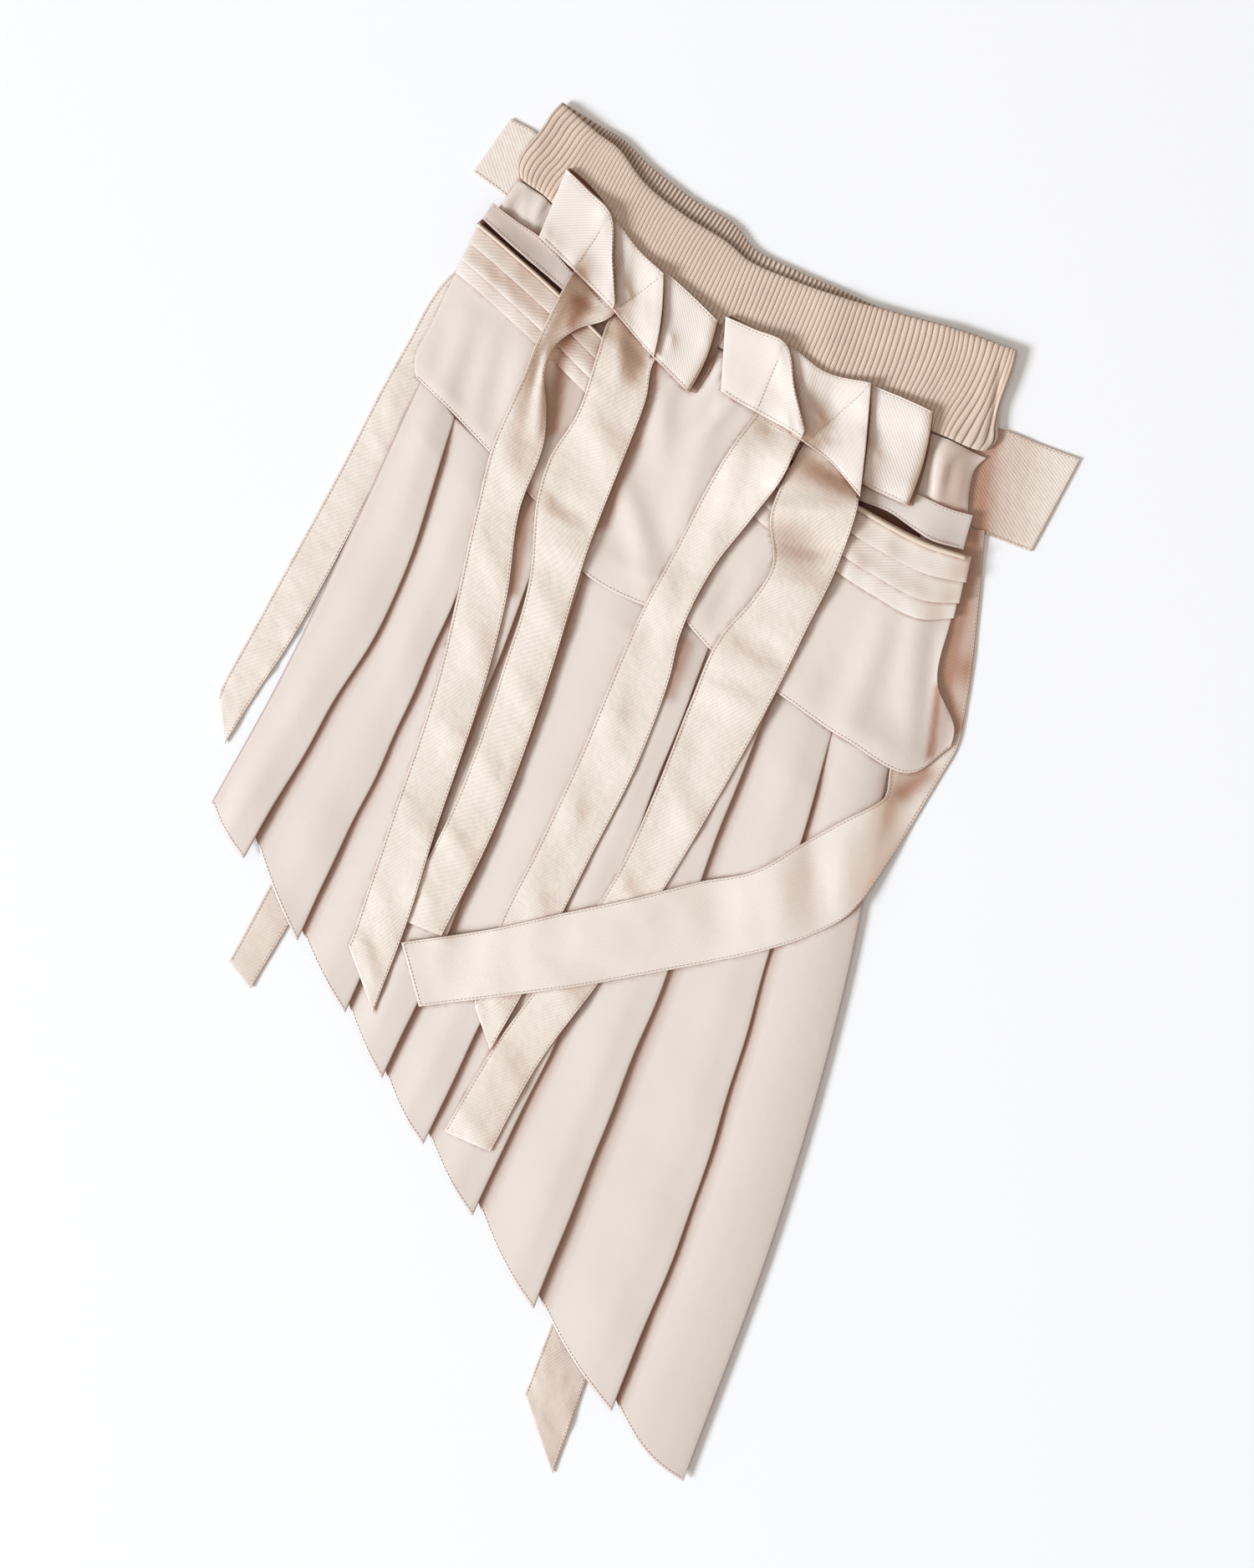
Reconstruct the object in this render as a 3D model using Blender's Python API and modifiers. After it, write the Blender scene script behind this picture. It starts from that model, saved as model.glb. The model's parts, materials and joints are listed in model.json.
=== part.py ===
"""Pleated skirt, laid flat: rib waistband, gathered yoke, tucked pocket panels, knife pleats and tied belts.

Metres, +Z up, +Y towards the waist. The origin is at the bottom centre of the whole outline. Everything lies
in layers on the surface z = 0. Outlines are tabled in picture positions and turned into the garment's own
frame by plan(). Heights are worked out: each piece of cloth comes to rest on the pieces below it.
"""

import math
from collections import namedtuple

import bmesh
import bpy
import numpy as np
from mathutils import Vector
from mathutils.bvhtree import BVHTree

MM = 0.001

# Driving sizes
WAIST_WIDTH = 340 * MM
WAIST_WIDTH_IN_PICTURE = 641.5
PICTURE_TURN = math.radians(25)
PICTURE_CENTRE_X = 699.1
PICTURE_CENTRE_Y = 957.9
SCALE = WAIST_WIDTH / WAIST_WIDTH_IN_PICTURE

GAP = 0.35 * MM
BACK_TAIL_THICKNESS = 1.2 * MM
PANEL_THICKNESS = 1.2 * MM
PLEAT_THICKNESS = 1.1 * MM
BAND_THICKNESS = 1.3 * MM
TUCK_THICKNESS = 1.0 * MM
PIPING_THICKNESS = 1.6 * MM
BOW_THICKNESS = 2.0 * MM
TAIL_THICKNESS = 1.2 * MM

BACK_HEIGHT = BACK_TAIL_THICKNESS + GAP
FRONT_HEIGHT = BACK_HEIGHT + PANEL_THICKNESS + GAP

# Rib waistband
RIB_COUNT = 76
RIB_WALL = 2.0 * MM
RIB_GROOVE = 0.6
MOUTH_GAP = 1.2 * MM
WAIST_ROWS = 4
WAIST_BACK_COLUMNS = 24

# Knife pleats
LAYER_STEP = PLEAT_THICKNESS + 0.45 * MM
UNDERLAY_AT_SEAM = 11 * MM
UNDERLAY_AT_HEM = 19 * MM
RISE_START = 1.6 * MM
PANEL_PUFF = 1.6 * MM
HIDDEN_HEM_UP = 5 * MM
BACK_INSET = 3 * MM
PLEAT_ROWS = 14

# Gathers of the yoke
GATHER_COUNT = 22
GATHER_DEPTH = 2.2 * MM
GATHER_FADE_AT = (0, 0.15, 0.45, 1)
GATHER_FADE = (0.6, 1, 0.7, 0.25)
YOKE_ROWS = 12
YOKE_BACK_ROWS = 5
YOKE_LAP = 3 * MM
YOKE_DEPTH = 160 * MM
WAIST_SEAM = 2 * GAP / YOKE_DEPTH
BACK_WAIST_SEAM = 1.6 * MM / YOKE_DEPTH

SKY = 0.2
CELL_SAMPLES = (-0.06, 0.2, 0.5, 0.8, 1.06)

Finish = namedtuple("Finish", "colour roughness")

SATIN = Finish((0.81, 0.73, 0.66, 1.0), 0.45)
TWILL = Finish((0.86, 0.76, 0.68, 1.0), 0.4)
RIB_KNIT = Finish((0.64, 0.46, 0.35, 1.0), 0.85)

# A strip of cloth is a table of stations across it: both edges, and how far each is lifted, in millimetres.
Station = namedtuple("Station", "left_x left_y left_lift right_x right_y right_lift")

# A pleat fold: its line from the seam to its tip, the notch where the next panel's hem comes out, and how far
# the hem of the panel before it curves down, in millimetres. The first and last rows are the skirt's sides.
Fold = namedtuple("Fold", "top_x top_y upper_x upper_y lower_x lower_y tip_x tip_y notch_x notch_y hem_curve")

FOLDS = [
    Fold(500, 462, 424, 628, 330, 822, 254, 959, 254, 959, 0),
    Fold(538, 517, 490, 672, 385, 865, 292, 1026, 311, 1004, 2),
    Fold(599, 577, 535, 735, 455, 915, 356, 1124, 367, 1116, 2),
    Fold(655, 634, 593, 798, 508, 995, 413, 1210, 422, 1203, 2),
    Fold(700, 680, 638, 860, 561, 1060, 457, 1288, 464, 1281, 2),
    Fold(783, 724, 712, 925, 610, 1152, 506, 1367, 517, 1356, 3),
    Fold(845, 780, 762, 1000, 665, 1238, 565, 1452, 579, 1442, 3),
    Fold(920, 841, 836, 1054, 747, 1290, 638, 1563, 651, 1552, 4),
    Fold(988, 897, 922, 1135, 841, 1400, 731, 1685, 740, 1674, 4),
    Fold(1060, 932, 1005, 1200, 934, 1450, 817, 1770, 817, 1770, 7),
]

# The waistband's rib lines: top and bottom of the front, and how far the back shows above it, in millimetres.
Rib = namedtuple("Rib", "top_x top_y bottom_x bottom_y back_above")

RIBS = [
    Rib(672, 125, 620, 215, 1),
    Rib(699, 150, 652, 236, 5),
    Rib(740, 180, 690, 280, 7),
    Rib(768, 217, 722, 315, 11),
    Rib(820, 260, 768, 361, 12),
    Rib(872, 293, 820, 395, 12),
    Rib(894, 312, 852, 412, 9),
    Rib(947, 336, 900, 438, 7),
    Rib(1002, 356, 956, 458, 5),
    Rib(1055, 371, 1015, 479, 1),
    Rib(1102, 384, 1062, 494, 1),
    Rib(1173, 406, 1140, 528, 1),
    Rib(1215, 421, 1181, 547, 1),
]

YOKE_LEFT = [(620, 215), (601, 245), (586, 264), (563, 296), (530, 372), (506, 440), (500, 462)]
YOKE_RIGHT = [(1181, 547), (1166, 590), (1157, 625), (1128, 672), (1092, 750), (1070, 842), (1060, 932)]

# A pocket panel is a patch between four edges. Its tucks and piping are strips of the same patch.
Patch = namedtuple("Patch", "top bottom left right")

POCKETS = {
    "left": Patch(
        top=[(574, 268), (614, 308), (668, 354), (722, 404)],
        bottom=[(499, 453), (535, 488), (584, 540), (650, 610)],
        left=[(574, 268), (545, 328), (518, 385), (496, 440), (499, 453)],
        right=[(722, 404), (690, 500), (650, 610)],
    ),
    "right": Patch(
        top=[(928, 548), (1028, 606), (1108, 648), (1154, 664)],
        bottom=[(818, 742), (850, 778), (926, 827), (1010, 885), (1092, 924), (1137, 893)],
        left=[(928, 548), (866, 650), (818, 742)],
        right=[(1154, 664), (1146, 725), (1122, 817), (1141, 878), (1137, 893)],
    ),
}

# Tucks of a pocket panel, top to bottom, as shares of its depth.
Tuck = namedtuple("Tuck", "upper lower")
TUCKS = [Tuck(0.0, 0.135), Tuck(0.115, 0.245), Tuck(0.225, 0.325)]
PIPING_DEPTH = 0.022
FLOUNCE_WAVES = 4
FLOUNCE_DEPTH = 2.0 * MM

HIP_BANDS = {
    "left": [
        Station(588, 245, 0, 580, 265, 0),
        Station(622, 270, 0, 609, 294, 0),
        Station(646, 286, 0, 637, 317, 0),
        Station(683, 325, 0, 667, 344, 0),
        Station(728, 372, 0, 714, 390, 0),
    ],
    "right": [
        Station(945, 510, 0, 930, 541, 0),
        Station(1040, 562, 0, 1026, 597, 0),
        Station(1097, 592, 0, 1080, 626, 0),
        Station(1143, 612, 0, 1128, 649, 0),
        Station(1163, 617, 0, 1152, 655, 0),
    ],
}

# Tied belts, from the knot outwards. Left and right are as seen with the free end at the bottom.
STRIPS = {
    "bow_left_tail_outer": [
        Station(704, 306, 0, 750, 358, 0),
        Station(687, 327, 3, 731, 382, 1),
        Station(664, 369, 7, 692, 396, 2),
        Station(645, 408, 9, 667, 414, 2),
        Station(630, 446, 8, 652, 446, 2),
        Station(612, 485, 5, 654, 488, 2),
        Station(594, 524, 3, 652, 526, 1),
        Station(570, 612, 1, 622, 612, 1),
        Station(547, 715, 0, 607, 715, 0),
        Station(527, 800, 0, 586, 800, 0),
        Station(462, 1000, 0, 520, 1000, 0),
        Station(424, 1114, 0, 481, 1122, 0),
        Station(418, 1130, 0, 447, 1210, 0),
    ],
    "bow_left_tail_inner": [
        Station(750, 358, 0, 802, 410, 0),
        Station(731, 380, 3, 783, 433, 2),
        Station(714, 428, 5, 773, 478, 3),
        Station(690, 497, 3, 746, 550, 3),
        Station(657, 550, 1, 722, 610, 3),
        Station(643, 596, 0, 706, 652, 2),
        Station(634, 690, 0, 690, 702, 1),
        Station(602, 800, 0, 661, 800, 0),
        Station(532, 988, 0, 588, 1000, 0),
        Station(472, 1096, 0, 529, 1119, 0),
    ],
    "bow_right_tail_inner": [
        Station(922, 468, 0, 976, 502, 0),
        Station(904, 496, 3, 955, 532, 3),
        Station(880, 528, 5, 936, 572, 4),
        Station(852, 572, 3, 900, 620, 3),
        Station(806, 660, 1, 852, 682, 2),
        Station(760, 747, 0, 812, 765, 1),
        Station(738, 798, 0, 802, 808, 0),
        Station(700, 890, 0, 766, 906, 0),
        Station(640, 1020, 0, 705, 1028, 0),
        Station(600, 1100, 0, 668, 1102, 0),
        Station(570, 1190, 0, 622, 1194, 0),
        Station(568, 1202, 0, 587, 1255, 0),
    ],
    "bow_right_tail_outer": [
        Station(978, 506, 0, 1046, 546, 0),
        Station(961, 532, 3, 1030, 573, 2),
        Station(936, 576, 5, 1024, 610, 3),
        Station(920, 622, 7, 1010, 655, 2),
        Station(924, 670, 6, 996, 690, 2),
        Station(900, 716, 3, 966, 750, 2),
        Station(862, 760, 1, 940, 804, 1),
        Station(824, 844, 0, 896, 888, 0),
        Station(787, 938, 0, 852, 966, 0),
        Station(735, 1050, 0, 792, 1066, 0),
        Station(662, 1154, 0, 716, 1175, 0),
        Station(587, 1257, 0, 644, 1272, 0),
        Station(531, 1352, 0, 587, 1376, 0),
    ],
    "bow_left_wing_right": [
        Station(768, 416, 0, 782, 316, 0),
        Station(783, 431, 1, 797, 328, 1),
        Station(804, 452, 4, 829, 357, 4),
        Station(824, 472, 3, 860, 387, 3),
    ],
    "bow_left_centre": [
        Station(722, 362, 0, 719, 250, 0),
        Station(735, 376, 0, 731, 259, 1),
        Station(758, 403, 2, 765, 302, 4),
        Station(782, 431, 1, 794, 330, 2),
    ],
    "bow_left_wing_left": [
        Station(646, 287, 3, 679, 206, 3),
        Station(667, 307, 4, 704, 231, 4),
        Station(687, 327, 2, 729, 257, 2),
        Station(722, 362, 1, 732, 318, 1),
        Station(733, 374, 0, 735, 366, 0),
    ],
    "bow_right_wing_right": [
        Station(1012, 570, 0, 1026, 452, 0),
        Station(1030, 580, 1, 1041, 461, 1),
        Station(1058, 594, 4, 1078, 477, 4),
        Station(1086, 607, 3, 1116, 495, 3),
    ],
    "bow_right_centre": [
        Station(946, 522, 0, 924, 408, 0),
        Station(961, 532, 0, 938, 412, 1),
        Station(994, 556, 2, 986, 446, 4),
        Station(1027, 597, 1, 1041, 460, 2),
    ],
    "bow_right_wing_left": [
        Station(863, 470, 3, 867, 383, 3),
        Station(883, 483, 4, 902, 397, 4),
        Station(904, 495, 2, 937, 412, 2),
        Station(940, 516, 1, 948, 470, 1),
        Station(957, 528, 0, 960, 521, 0),
    ],
    "wrap_belt": [
        Station(1098, 656, 0, 1176, 650, 0),
        Station(1088, 750, 0, 1168, 750, 0),
        Station(1076, 842, 0, 1156, 841, 0),
        Station(1066, 895, 0, 1143, 898, 0),
        Station(1063, 925, 0, 1124, 930, 0),
        Station(1060, 948, 1, 1098, 974, 0),
        Station(1048, 961, 2, 1060, 1034, 0),
        Station(1010, 980, 1, 1018, 1090, 0),
        Station(960, 1008, 0, 972, 1117, 0),
        Station(905, 1040, 0, 918, 1135, 0),
        Station(836, 1054, 0, 851, 1150, 0),
        Station(760, 1073, 0, 780, 1163, 0),
        Station(670, 1092, 0, 690, 1179, 0),
        Station(589, 1110, 0, 606, 1190, 0),
        Station(481, 1126, 0, 502, 1203, 0),
    ],
    "back_bow_right_wing": [
        Station(1090, 575, 0, 1112, 520, 0),
        Station(1164, 631, 0, 1193, 512, 0),
        Station(1200, 647, 0, 1244, 531, 0),
        Station(1233, 660, 0, 1292, 549, 0),
    ],
    "back_bow_right_tail": [
        Station(990, 600, 0, 1048, 620, 0),
        Station(850, 1048, 0, 910, 1070, 0),
        Station(660, 1582, 0, 718, 1602, 0),
        Station(628, 1667, 0, 661, 1762, 0),
    ],
    "back_bow_left_wing": [
        Station(566, 206, 0, 611, 142, 0),
        Station(601, 232, 0, 643, 161, 0),
        Station(640, 268, 0, 668, 214, 0),
        Station(676, 310, 0, 692, 282, 0),
    ],
    "back_bow_left_tail_outer": [
        Station(604, 286, 0, 634, 322, 0),
        Station(543, 325, 0, 580, 352, 0),
        Station(480, 423, 0, 518, 448, 0),
        Station(400, 575, 0, 440, 598, 0),
        Station(300, 758, 0, 340, 780, 0),
        Station(265, 823, 0, 298, 843, 0),
        Station(262, 836, 0, 269, 890, 0),
    ],
    "back_bow_left_tail_inner": [
        Station(656, 360, 0, 694, 384, 0),
        Station(490, 716, 0, 528, 738, 0),
        Station(326, 1053, 0, 364, 1073, 0),
        Station(274, 1150, 0, 300, 1182, 0),
    ],
}

RIBBON_STEP = 14 * MM
RIBBON_COLUMNS = 3
BACK_TAIL_STEP = 30 * MM
SETTLE_ROUNDS = 5
BOW_SETTLE_ROUNDS = 1


def plan(points):
    """Picture positions, two in a row's first columns, turned and scaled to garment metres."""
    points = np.asarray(points, float)
    right = (points[..., 0] - PICTURE_CENTRE_X) * SCALE
    up = (PICTURE_CENTRE_Y - points[..., 1]) * SCALE
    c, s = math.cos(PICTURE_TURN), math.sin(PICTURE_TURN)
    return np.stack([right * c - up * s, right * s + up * c], axis=-1)


def shares_along(points):
    """How far along its length each point of a line lies, from 0 to 1."""
    steps = np.linalg.norm(np.diff(points, axis=0), axis=1)
    return np.concatenate([[0], np.cumsum(steps)]) / steps.sum()


def smooth(values, at, guide=None):
    """Smooth curve through rows of values, read at shares 0 to 1 of the guide's length."""
    values = np.asarray(values, float)
    knots = shares_along(values if guide is None else guide)
    slopes = np.gradient(values, knots, axis=0)
    at = np.clip(np.asarray(at, float), 0, 1)
    k = np.clip(np.searchsorted(knots, at, side="right") - 1, 0, len(knots) - 2)
    span = (knots[k + 1] - knots[k])[:, None]
    t = ((at - knots[k]) / (knots[k + 1] - knots[k]))[:, None]
    start, end = values[k], values[k + 1]
    return (start * (2 * t**3 - 3 * t**2 + 1) + end * (3 * t**2 - 2 * t**3)
            + slopes[k] * span * (t**3 - 2 * t**2 + t) + slopes[k + 1] * span * (t**3 - t**2))


def patch_points(patch, across, down):
    """Points of a four-sided patch: shares across its top and down its sides."""
    top, bottom = smooth(plan(patch.top), across), smooth(plan(patch.bottom), across)
    left, right = smooth(plan(patch.left), down), smooth(plan(patch.right), down)
    u, v = np.asarray(across)[None, :, None], np.asarray(down)[:, None, None]
    between_ends = (1 - v) * top[None] + v * bottom[None]
    between_sides = (1 - u) * left[:, None] + u * right[:, None]
    corners = ((1 - u) * (1 - v) * top[0] + u * (1 - v) * top[-1]
               + (1 - u) * v * bottom[0] + u * v * bottom[-1])
    return between_ends + between_sides - corners


def cloth_material(name, finish):
    """A piece's own cloth: no metal, with its finish's colour and roughness."""
    material = bpy.data.materials.new(name)
    material.use_nodes = True
    shader = material.node_tree.nodes["Principled BSDF"]
    shader.inputs["Base Color"].default_value = finish.colour
    shader.inputs["Roughness"].default_value = finish.roughness
    shader.inputs["Metallic"].default_value = 0.0
    return material


def wall(collection, name, points, thickness, finish, offset=1.0, closed=False, weights=None):
    """A cloth wall: an open grid through the points, thickened by Solidify."""
    rows, columns = points.shape[:2]
    bm = bmesh.new()
    bmesh.ops.create_grid(bm, x_segments=columns - 1, y_segments=rows - 1, size=0.5)
    bm.verts.ensure_lookup_table()
    layer = bm.verts.layers.deform.verify()
    for index, vertex in enumerate(bm.verts):
        row, column = divmod(index, columns)
        vertex.co = points[row, column]
        if weights is not None:
            vertex[layer][0] = float(weights[column])
    if closed:
        bmesh.ops.remove_doubles(bm, verts=bm.verts, dist=1e-6)
    bm.normal_update()
    highest = max(bm.faces, key=lambda face: face.calc_center_median().z)
    if highest.normal.z < 0:
        bmesh.ops.reverse_faces(bm, faces=bm.faces)
    mesh = bpy.data.meshes.new(name)
    bm.to_mesh(mesh)
    bm.free()
    mesh.materials.append(cloth_material(name, finish))
    mesh.shade_smooth()
    obj = bpy.data.objects.new(name, mesh)
    collection.objects.link(obj)
    solidify = obj.modifiers.new("cloth thickness", "SOLIDIFY")
    solidify.thickness = thickness
    solidify.offset = offset
    solidify.use_even_offset = offset == 0
    solidify.use_quality_normals = True
    if weights is not None:
        obj.vertex_groups.new(name="rib")
        solidify.vertex_group = "rib"
    return obj


def surface_of(objects):
    """One search tree of the finished walls, with their thickness."""
    bpy.context.view_layer.update()
    depsgraph = bpy.context.evaluated_depsgraph_get()
    vertices, faces = [], []
    for obj in objects:
        evaluated = obj.evaluated_get(depsgraph)
        mesh = evaluated.to_mesh()
        base = len(vertices)
        vertices.extend(vertex.co.copy() for vertex in mesh.vertices)
        faces.extend([base + index for index in face.vertices] for face in mesh.polygons)
        evaluated.to_mesh_clear()
    return BVHTree.FromPolygons(vertices, faces)


def resting_heights(flat, supports):
    """Lowest height of each grid point that keeps its cells a gap above the supports, or on the floor."""
    rows, columns = flat.shape[:2]
    heights = np.zeros((rows, columns))
    if not supports:
        return heights
    tree = surface_of(supports)
    down = Vector((0, 0, -1))
    for row in range(rows - 1):
        for column in range(columns - 1):
            a, b = flat[row, column], flat[row, column + 1]
            c, d = flat[row + 1, column], flat[row + 1, column + 1]
            top = 0.0
            for v in CELL_SAMPLES:
                for u in CELL_SAMPLES:
                    x, y = (a * (1 - u) + b * u) * (1 - v) + (c * (1 - u) + d * u) * v
                    hit = tree.ray_cast(Vector((x, y, SKY)), down)[0]
                    if hit is not None:
                        top = max(top, hit.z + GAP)
            block = heights[row:row + 2, column:column + 2]
            np.maximum(block, top, out=block)
    return heights


def settle(heights, rounds):
    """Ease steps in the heights, only ever upwards, so that clearances stay."""
    for _ in range(rounds):
        ring = np.pad(heights, 1, mode="edge")
        mean = (ring[:-2, 1:-1] + ring[2:, 1:-1] + ring[1:-1, :-2] + ring[1:-1, 2:]) / 4
        heights = np.maximum(heights, mean)
    return heights


def laid(flat, heights):
    return np.concatenate([flat, heights[..., None]], axis=-1)


def strip_grid(stations, columns, step):
    """Plan points and lifts of a strip, rows along it and columns across it."""
    left = plan([(s.left_x, s.left_y) for s in stations])
    right = plan([(s.right_x, s.right_y) for s in stations])
    centre = (left + right) / 2
    lifts = np.array([(s.left_lift, s.right_lift) for s in stations]) * MM
    length = np.linalg.norm(np.diff(centre, axis=0), axis=1).sum()
    at = np.linspace(0, 1, max(3, round(length / step) + 1))
    edges = smooth(np.concatenate([left, right, lifts], axis=1), at, guide=centre)
    share = np.linspace(0, 1, columns + 1)[None, :, None]
    flat = edges[:, None, 0:2] * (1 - share) + edges[:, None, 2:4] * share
    rise = edges[:, None, 4] * (1 - share[..., 0]) + edges[:, None, 5] * share[..., 0]
    return flat, np.maximum(rise, 0)


def strip(collection, name, stations, supports, thickness, finish=TWILL, step=RIBBON_STEP,
          columns=RIBBON_COLUMNS, rounds=SETTLE_ROUNDS):
    """A length of belt or band that rests on its supports."""
    flat, rise = strip_grid(stations, columns, step)
    heights = settle(resting_heights(flat, supports), rounds)
    return wall(collection, name, laid(flat, heights + rise), thickness, finish)


def waistband(collection):
    """Flattened rib tube, open at both ends, with its mouth along the top edge."""
    half_gap = MOUTH_GAP / 2
    middle = BACK_HEIGHT + RIB_WALL + half_gap
    inset = (RIB_WALL + half_gap) / WAIST_WIDTH
    front = np.linspace(inset, 1 - inset, 2 * RIB_COUNT + 1)
    back = np.linspace(1 - inset, inset, WAIST_BACK_COLUMNS)
    shares = np.concatenate([front, [1 - inset + half_gap / WAIST_WIDTH], back,
                             [inset - half_gap / WAIST_WIDTH], front[:1]])
    side = np.concatenate([np.ones(len(front)), [0], -np.ones(len(back)), [0, 1]])
    top = smooth(plan([(r.top_x, r.top_y) for r in RIBS]), shares)
    bottom = smooth(plan([(r.bottom_x, r.bottom_y) for r in RIBS]), shares)
    rise = top - bottom
    rise /= np.linalg.norm(rise, axis=1)[:, None]
    above = smooth([[r.back_above * MM] for r in RIBS], shares, guide=plan([(r.top_x, r.top_y) for r in RIBS]))
    top = top + rise * above * (side < 0)[:, None]
    down = np.linspace(0, 1, WAIST_ROWS)[:, None, None]
    flat = top[None] * (1 - down) + bottom[None] * down
    heights = np.broadcast_to(middle + side * half_gap, flat.shape[:2])
    crest = np.ones(len(shares))
    crest[1:2 * RIB_COUNT:2] = RIB_GROOVE
    return wall(collection, "waistband", laid(flat, heights), RIB_WALL, RIB_KNIT, closed=True, weights=crest)


def fold_line(fold, rows, shorten=0.0):
    """Plan points down a fold line, as far as its tip or, shortened, its notch."""
    points = plan([(fold.top_x, fold.top_y), (fold.upper_x, fold.upper_y),
                   (fold.lower_x, fold.lower_y), (fold.tip_x, fold.tip_y)])
    return smooth(points, np.linspace(0, 1 - shorten, rows))


def length_of(line):
    return np.linalg.norm(np.diff(line, axis=0), axis=1).sum()


def hem_drop(line, depth):
    """Shift that lengthens a line at the hem, fading out over its lower half."""
    end = line[-1] - line[-2]
    fade = np.clip(2 * np.linspace(0, 1, len(line)) - 1, 0, 1) ** 2
    return fade[:, None] * depth * end / np.linalg.norm(end)


def notch_share(fold):
    """How much shorter the line to the notch is than the line to the tip."""
    top, tip, notch = plan([(fold.top_x, fold.top_y), (fold.tip_x, fold.tip_y), (fold.notch_x, fold.notch_y)])
    return np.linalg.norm(tip - notch) / np.linalg.norm(tip - top)


def pleated_front(collection):
    """Knife pleats: each panel folds under at its right edge and comes back out below."""
    low = FRONT_HEIGHT + PLEAT_THICKNESS / 2
    edge_lines = [fold_line(fold, PLEAT_ROWS) for fold in FOLDS]
    depth = np.linspace(UNDERLAY_AT_SEAM, UNDERLAY_AT_HEM, PLEAT_ROWS)[:, None]
    columns, heights = [edge_lines[0]], [low]

    def add(line, height):
        columns.append(line)
        heights.append(height)

    start = edge_lines[0]
    for index in range(1, len(FOLDS)):
        edge = edge_lines[index]
        middle = (start + edge) / 2
        add(middle + hem_drop(middle, FOLDS[index].hem_curve * MM), low + LAYER_STEP + PANEL_PUFF)
        if index == len(FOLDS) - 1:
            add(edge, low)
            break
        along = edge - edge_lines[index - 1]
        along /= np.linalg.norm(along, axis=1)[:, None]
        share = notch_share(FOLDS[index])
        hidden = fold_line(FOLDS[index], PLEAT_ROWS, share + HIDDEN_HEM_UP / length_of(edge))
        notch = fold_line(FOLDS[index], PLEAT_ROWS, share)
        add(edge, low + 2 * LAYER_STEP)
        add(edge, low + LAYER_STEP)
        add(hidden - along * depth, low + LAYER_STEP)
        add(hidden - along * depth, low)
        add(notch + along * RISE_START, low)
        start = notch
    flat = np.stack(columns, axis=1)
    points = laid(flat, np.broadcast_to(heights, flat.shape[:2]))
    return wall(collection, "skirt_front", points, PLEAT_THICKNESS, SATIN, offset=0.0)


def flat_back(collection, name, flat):
    """A plain back panel, lying flat just inside the sides of the front above it."""
    flat[:, 0, 0] += BACK_INSET
    flat[:, -1, 0] -= BACK_INSET
    return wall(collection, name, laid(flat, np.full(flat.shape[:2], BACK_HEIGHT)), PANEL_THICKNESS, SATIN)


def plain_back(collection):
    """Back of the skirt, with its hem just above the notches of the front hem."""
    lines = []
    for fold in FOLDS:
        short = notch_share(fold) + HIDDEN_HEM_UP / length_of(fold_line(fold, PLEAT_ROWS))
        lines.append(fold_line(fold, PLEAT_ROWS, short))
    return flat_back(collection, "skirt_back", np.stack(lines, axis=1))


def yoke_patch(lap):
    """The yoke from the waistband to the pleats' seam, with its lower edge moved down by the lap."""
    shift = lap / SCALE
    down_x, down_y = -shift * math.sin(PICTURE_TURN), shift * math.cos(PICTURE_TURN)
    top = [(r.bottom_x, r.bottom_y) for r in RIBS]
    bottom = [(f.top_x + down_x, f.top_y + down_y) for f in FOLDS]
    left = YOKE_LEFT[:-1] + [bottom[0]]
    right = YOKE_RIGHT[:-1] + [bottom[-1]]
    return Patch(top, bottom, left, right)


def yoke(collection, skirt_front, skirt_back):
    """Gathered front and flat back between the waistband and the pleats."""
    across = np.linspace(0, 1, 2 * GATHER_COUNT + 1)
    down = np.linspace(0, 1, YOKE_ROWS)
    front = patch_points(yoke_patch(YOKE_LAP), across, WAIST_SEAM + down * (1 - WAIST_SEAM))
    back_patch = yoke_patch(-GAP)
    back_down = np.linspace(BACK_WAIST_SEAM, 1, YOKE_BACK_ROWS)
    back = patch_points(back_patch, shares_along(plan(back_patch.bottom)), back_down)
    back_wall = flat_back(collection, "yoke_back", back)
    fade = np.interp(down, GATHER_FADE_AT, GATHER_FADE)[:, None]
    wave = 0.5 - 0.5 * np.cos(2 * math.pi * GATHER_COUNT * np.linspace(0, 1, len(across)))[None, :]
    rest = settle(resting_heights(front, [back_wall, skirt_front, skirt_back]), 2)
    heights = rest + GATHER_DEPTH * fade * wave
    front_wall = wall(collection, "yoke_front", laid(front, heights), PANEL_THICKNESS, SATIN)
    return front_wall, back_wall


def pocket_strip(collection, name, patch, upper, lower, supports, thickness, finish=TWILL, columns=12, rows=3,
                 wave=0.0):
    """Part of a pocket panel's patch between two shares of its depth, laid on its supports."""
    across = np.linspace(0, 1, columns + 1)
    flat = patch_points(patch, across, np.linspace(upper, lower, rows))
    heights = settle(resting_heights(flat, supports), 1)
    swell = (0.5 - 0.5 * np.cos(2 * math.pi * FLOUNCE_WAVES * across))[None, :]
    reach = np.linspace(0, 1, rows)[:, None]
    return wall(collection, name, laid(flat, heights + wave * swell * reach), thickness, finish)


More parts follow.
